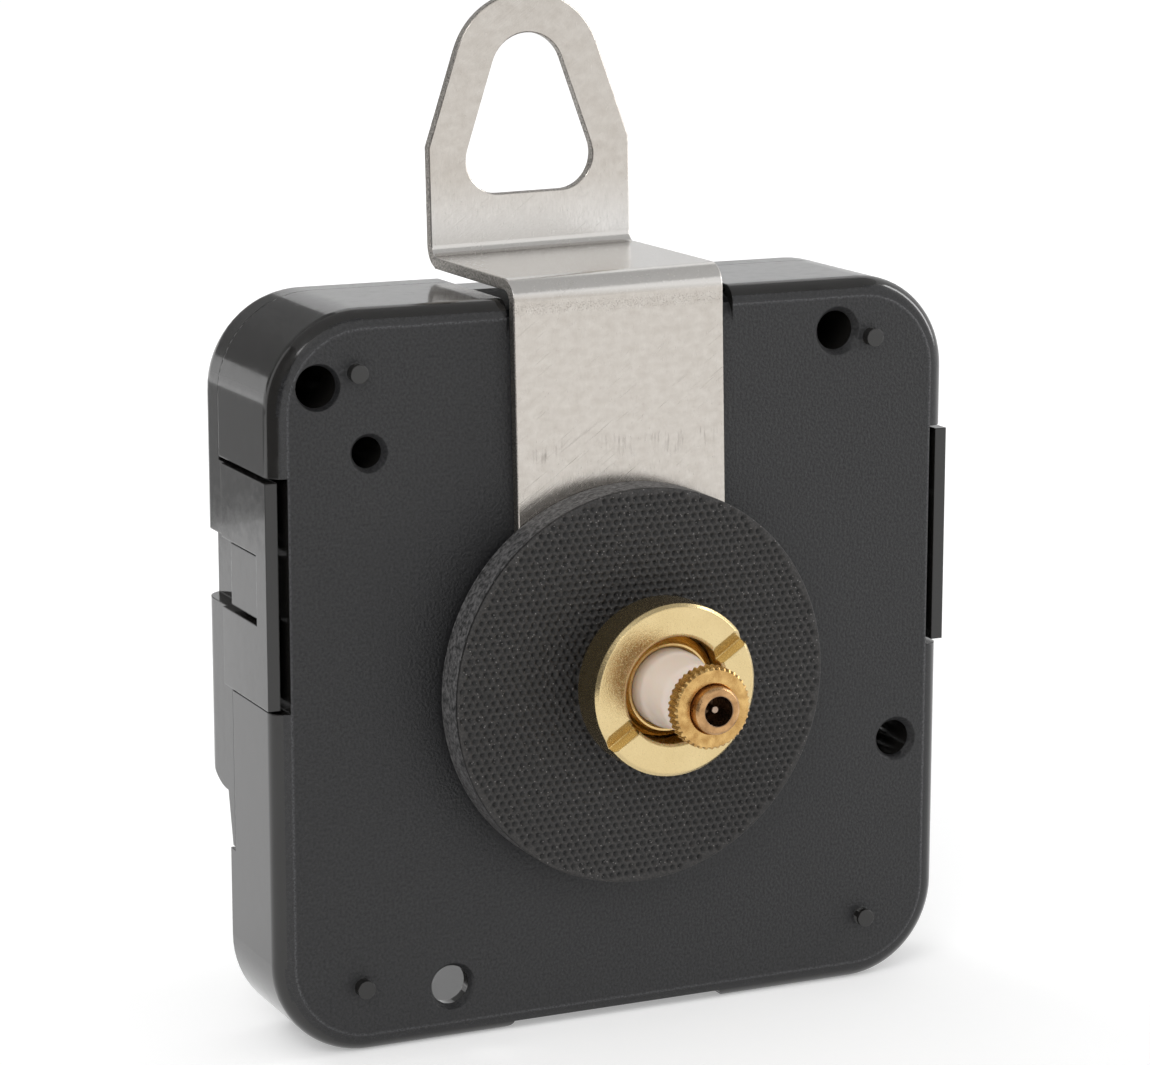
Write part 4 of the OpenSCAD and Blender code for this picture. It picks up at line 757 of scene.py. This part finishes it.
def softbox(name, place, aim, size, power):
    """A soft square lamp: place, aim and size in metres, power in watts."""
    lamp = bpy.data.lights.new(name, "AREA")
    lamp.shape, lamp.size, lamp.size_y, lamp.energy = "RECTANGLE", *size, power
    lamp_object = bpy.data.objects.new(name, lamp)
    lamp_object.location = place
    lamp_object.rotation_euler = (Vector(aim) - Vector(place)).to_track_quat("-Z", "Y").to_euler()
    bpy.context.scene.collection.objects.link(lamp_object)


softbox("key_lamp", (-0.5, -0.55, 0.55), (0, 0, 0), (0.5, 0.5), 3.0)
softbox("right_lamp", (0.6, -0.1, 0.25), (0, 0, 0), (0.12, 0.5), 1.2)
softbox("rear_lamp", (-0.3, 0.6, 0.5), (0, 0, 0.02), (0.5, 0.3), 1.5)


def flag(name, shade, corners):
    """A dull card that only a gloss sees, so that it shapes the reflections and takes no light."""
    card_mesh = bmesh.new()
    card_mesh.faces.new([card_mesh.verts.new(corner) for corner in corners])
    card = made(name, card_mesh)
    cloth = Finish(name, Roughness=1.0, Base_Color=(shade, shade, shade, 1))
    card.data.materials.append(cloth.material)
    for ray in ("camera", "diffuse", "transmission", "volume_scatter", "shadow"):
        setattr(card, "visible_" + ray, False)


flag("left_flag", 0.2,
     [(-0.16, -0.4, -0.028), (-0.16, 0.05, -0.028), (-0.16, 0.05, 0.19), (-0.16, -0.4, 0.19)])
flag("upper_flag", 0.6, [(-0.35, -0.45, 0.4), (0.35, -0.45, 0.4), (0.35, 0.25, 0.4), (-0.35, 0.25, 0.4)])
flag("rear_flag", 0.22, [(-0.5, 0.4, 0.07), (0.06, 0.4, 0.07), (0.06, 0.4, 0.6), (-0.5, 0.4, 0.6)])
flag("rear_card", 0.8, [(0.06, 0.4, -0.01), (0.7, 0.4, -0.01), (0.7, 0.4, 0.3), (0.06, 0.4, 0.3)])
flag("floor_card", 0.35,
     [(-0.4, 0.19, -0.027), (-0.06, 0.19, -0.027), (-0.06, 0.5, -0.027), (-0.4, 0.5, -0.027)])

looks_down, looks_right = 11.596, 24.776
camera = bpy.data.cameras.new("photo_camera")
camera.lens, camera.sensor_width, camera.clip_start = 116.43, 36, 0.01
camera_object = bpy.data.objects.new("photo_camera", camera)
camera_object.location = (-0.11822, -0.24788, 0.06645)
camera_object.rotation_euler = (math.radians(90 - looks_down), 0, math.radians(-looks_right))
bpy.context.scene.collection.objects.link(camera_object)
bpy.context.scene.camera = camera_object
bpy.context.scene.view_settings.view_transform = "Standard"
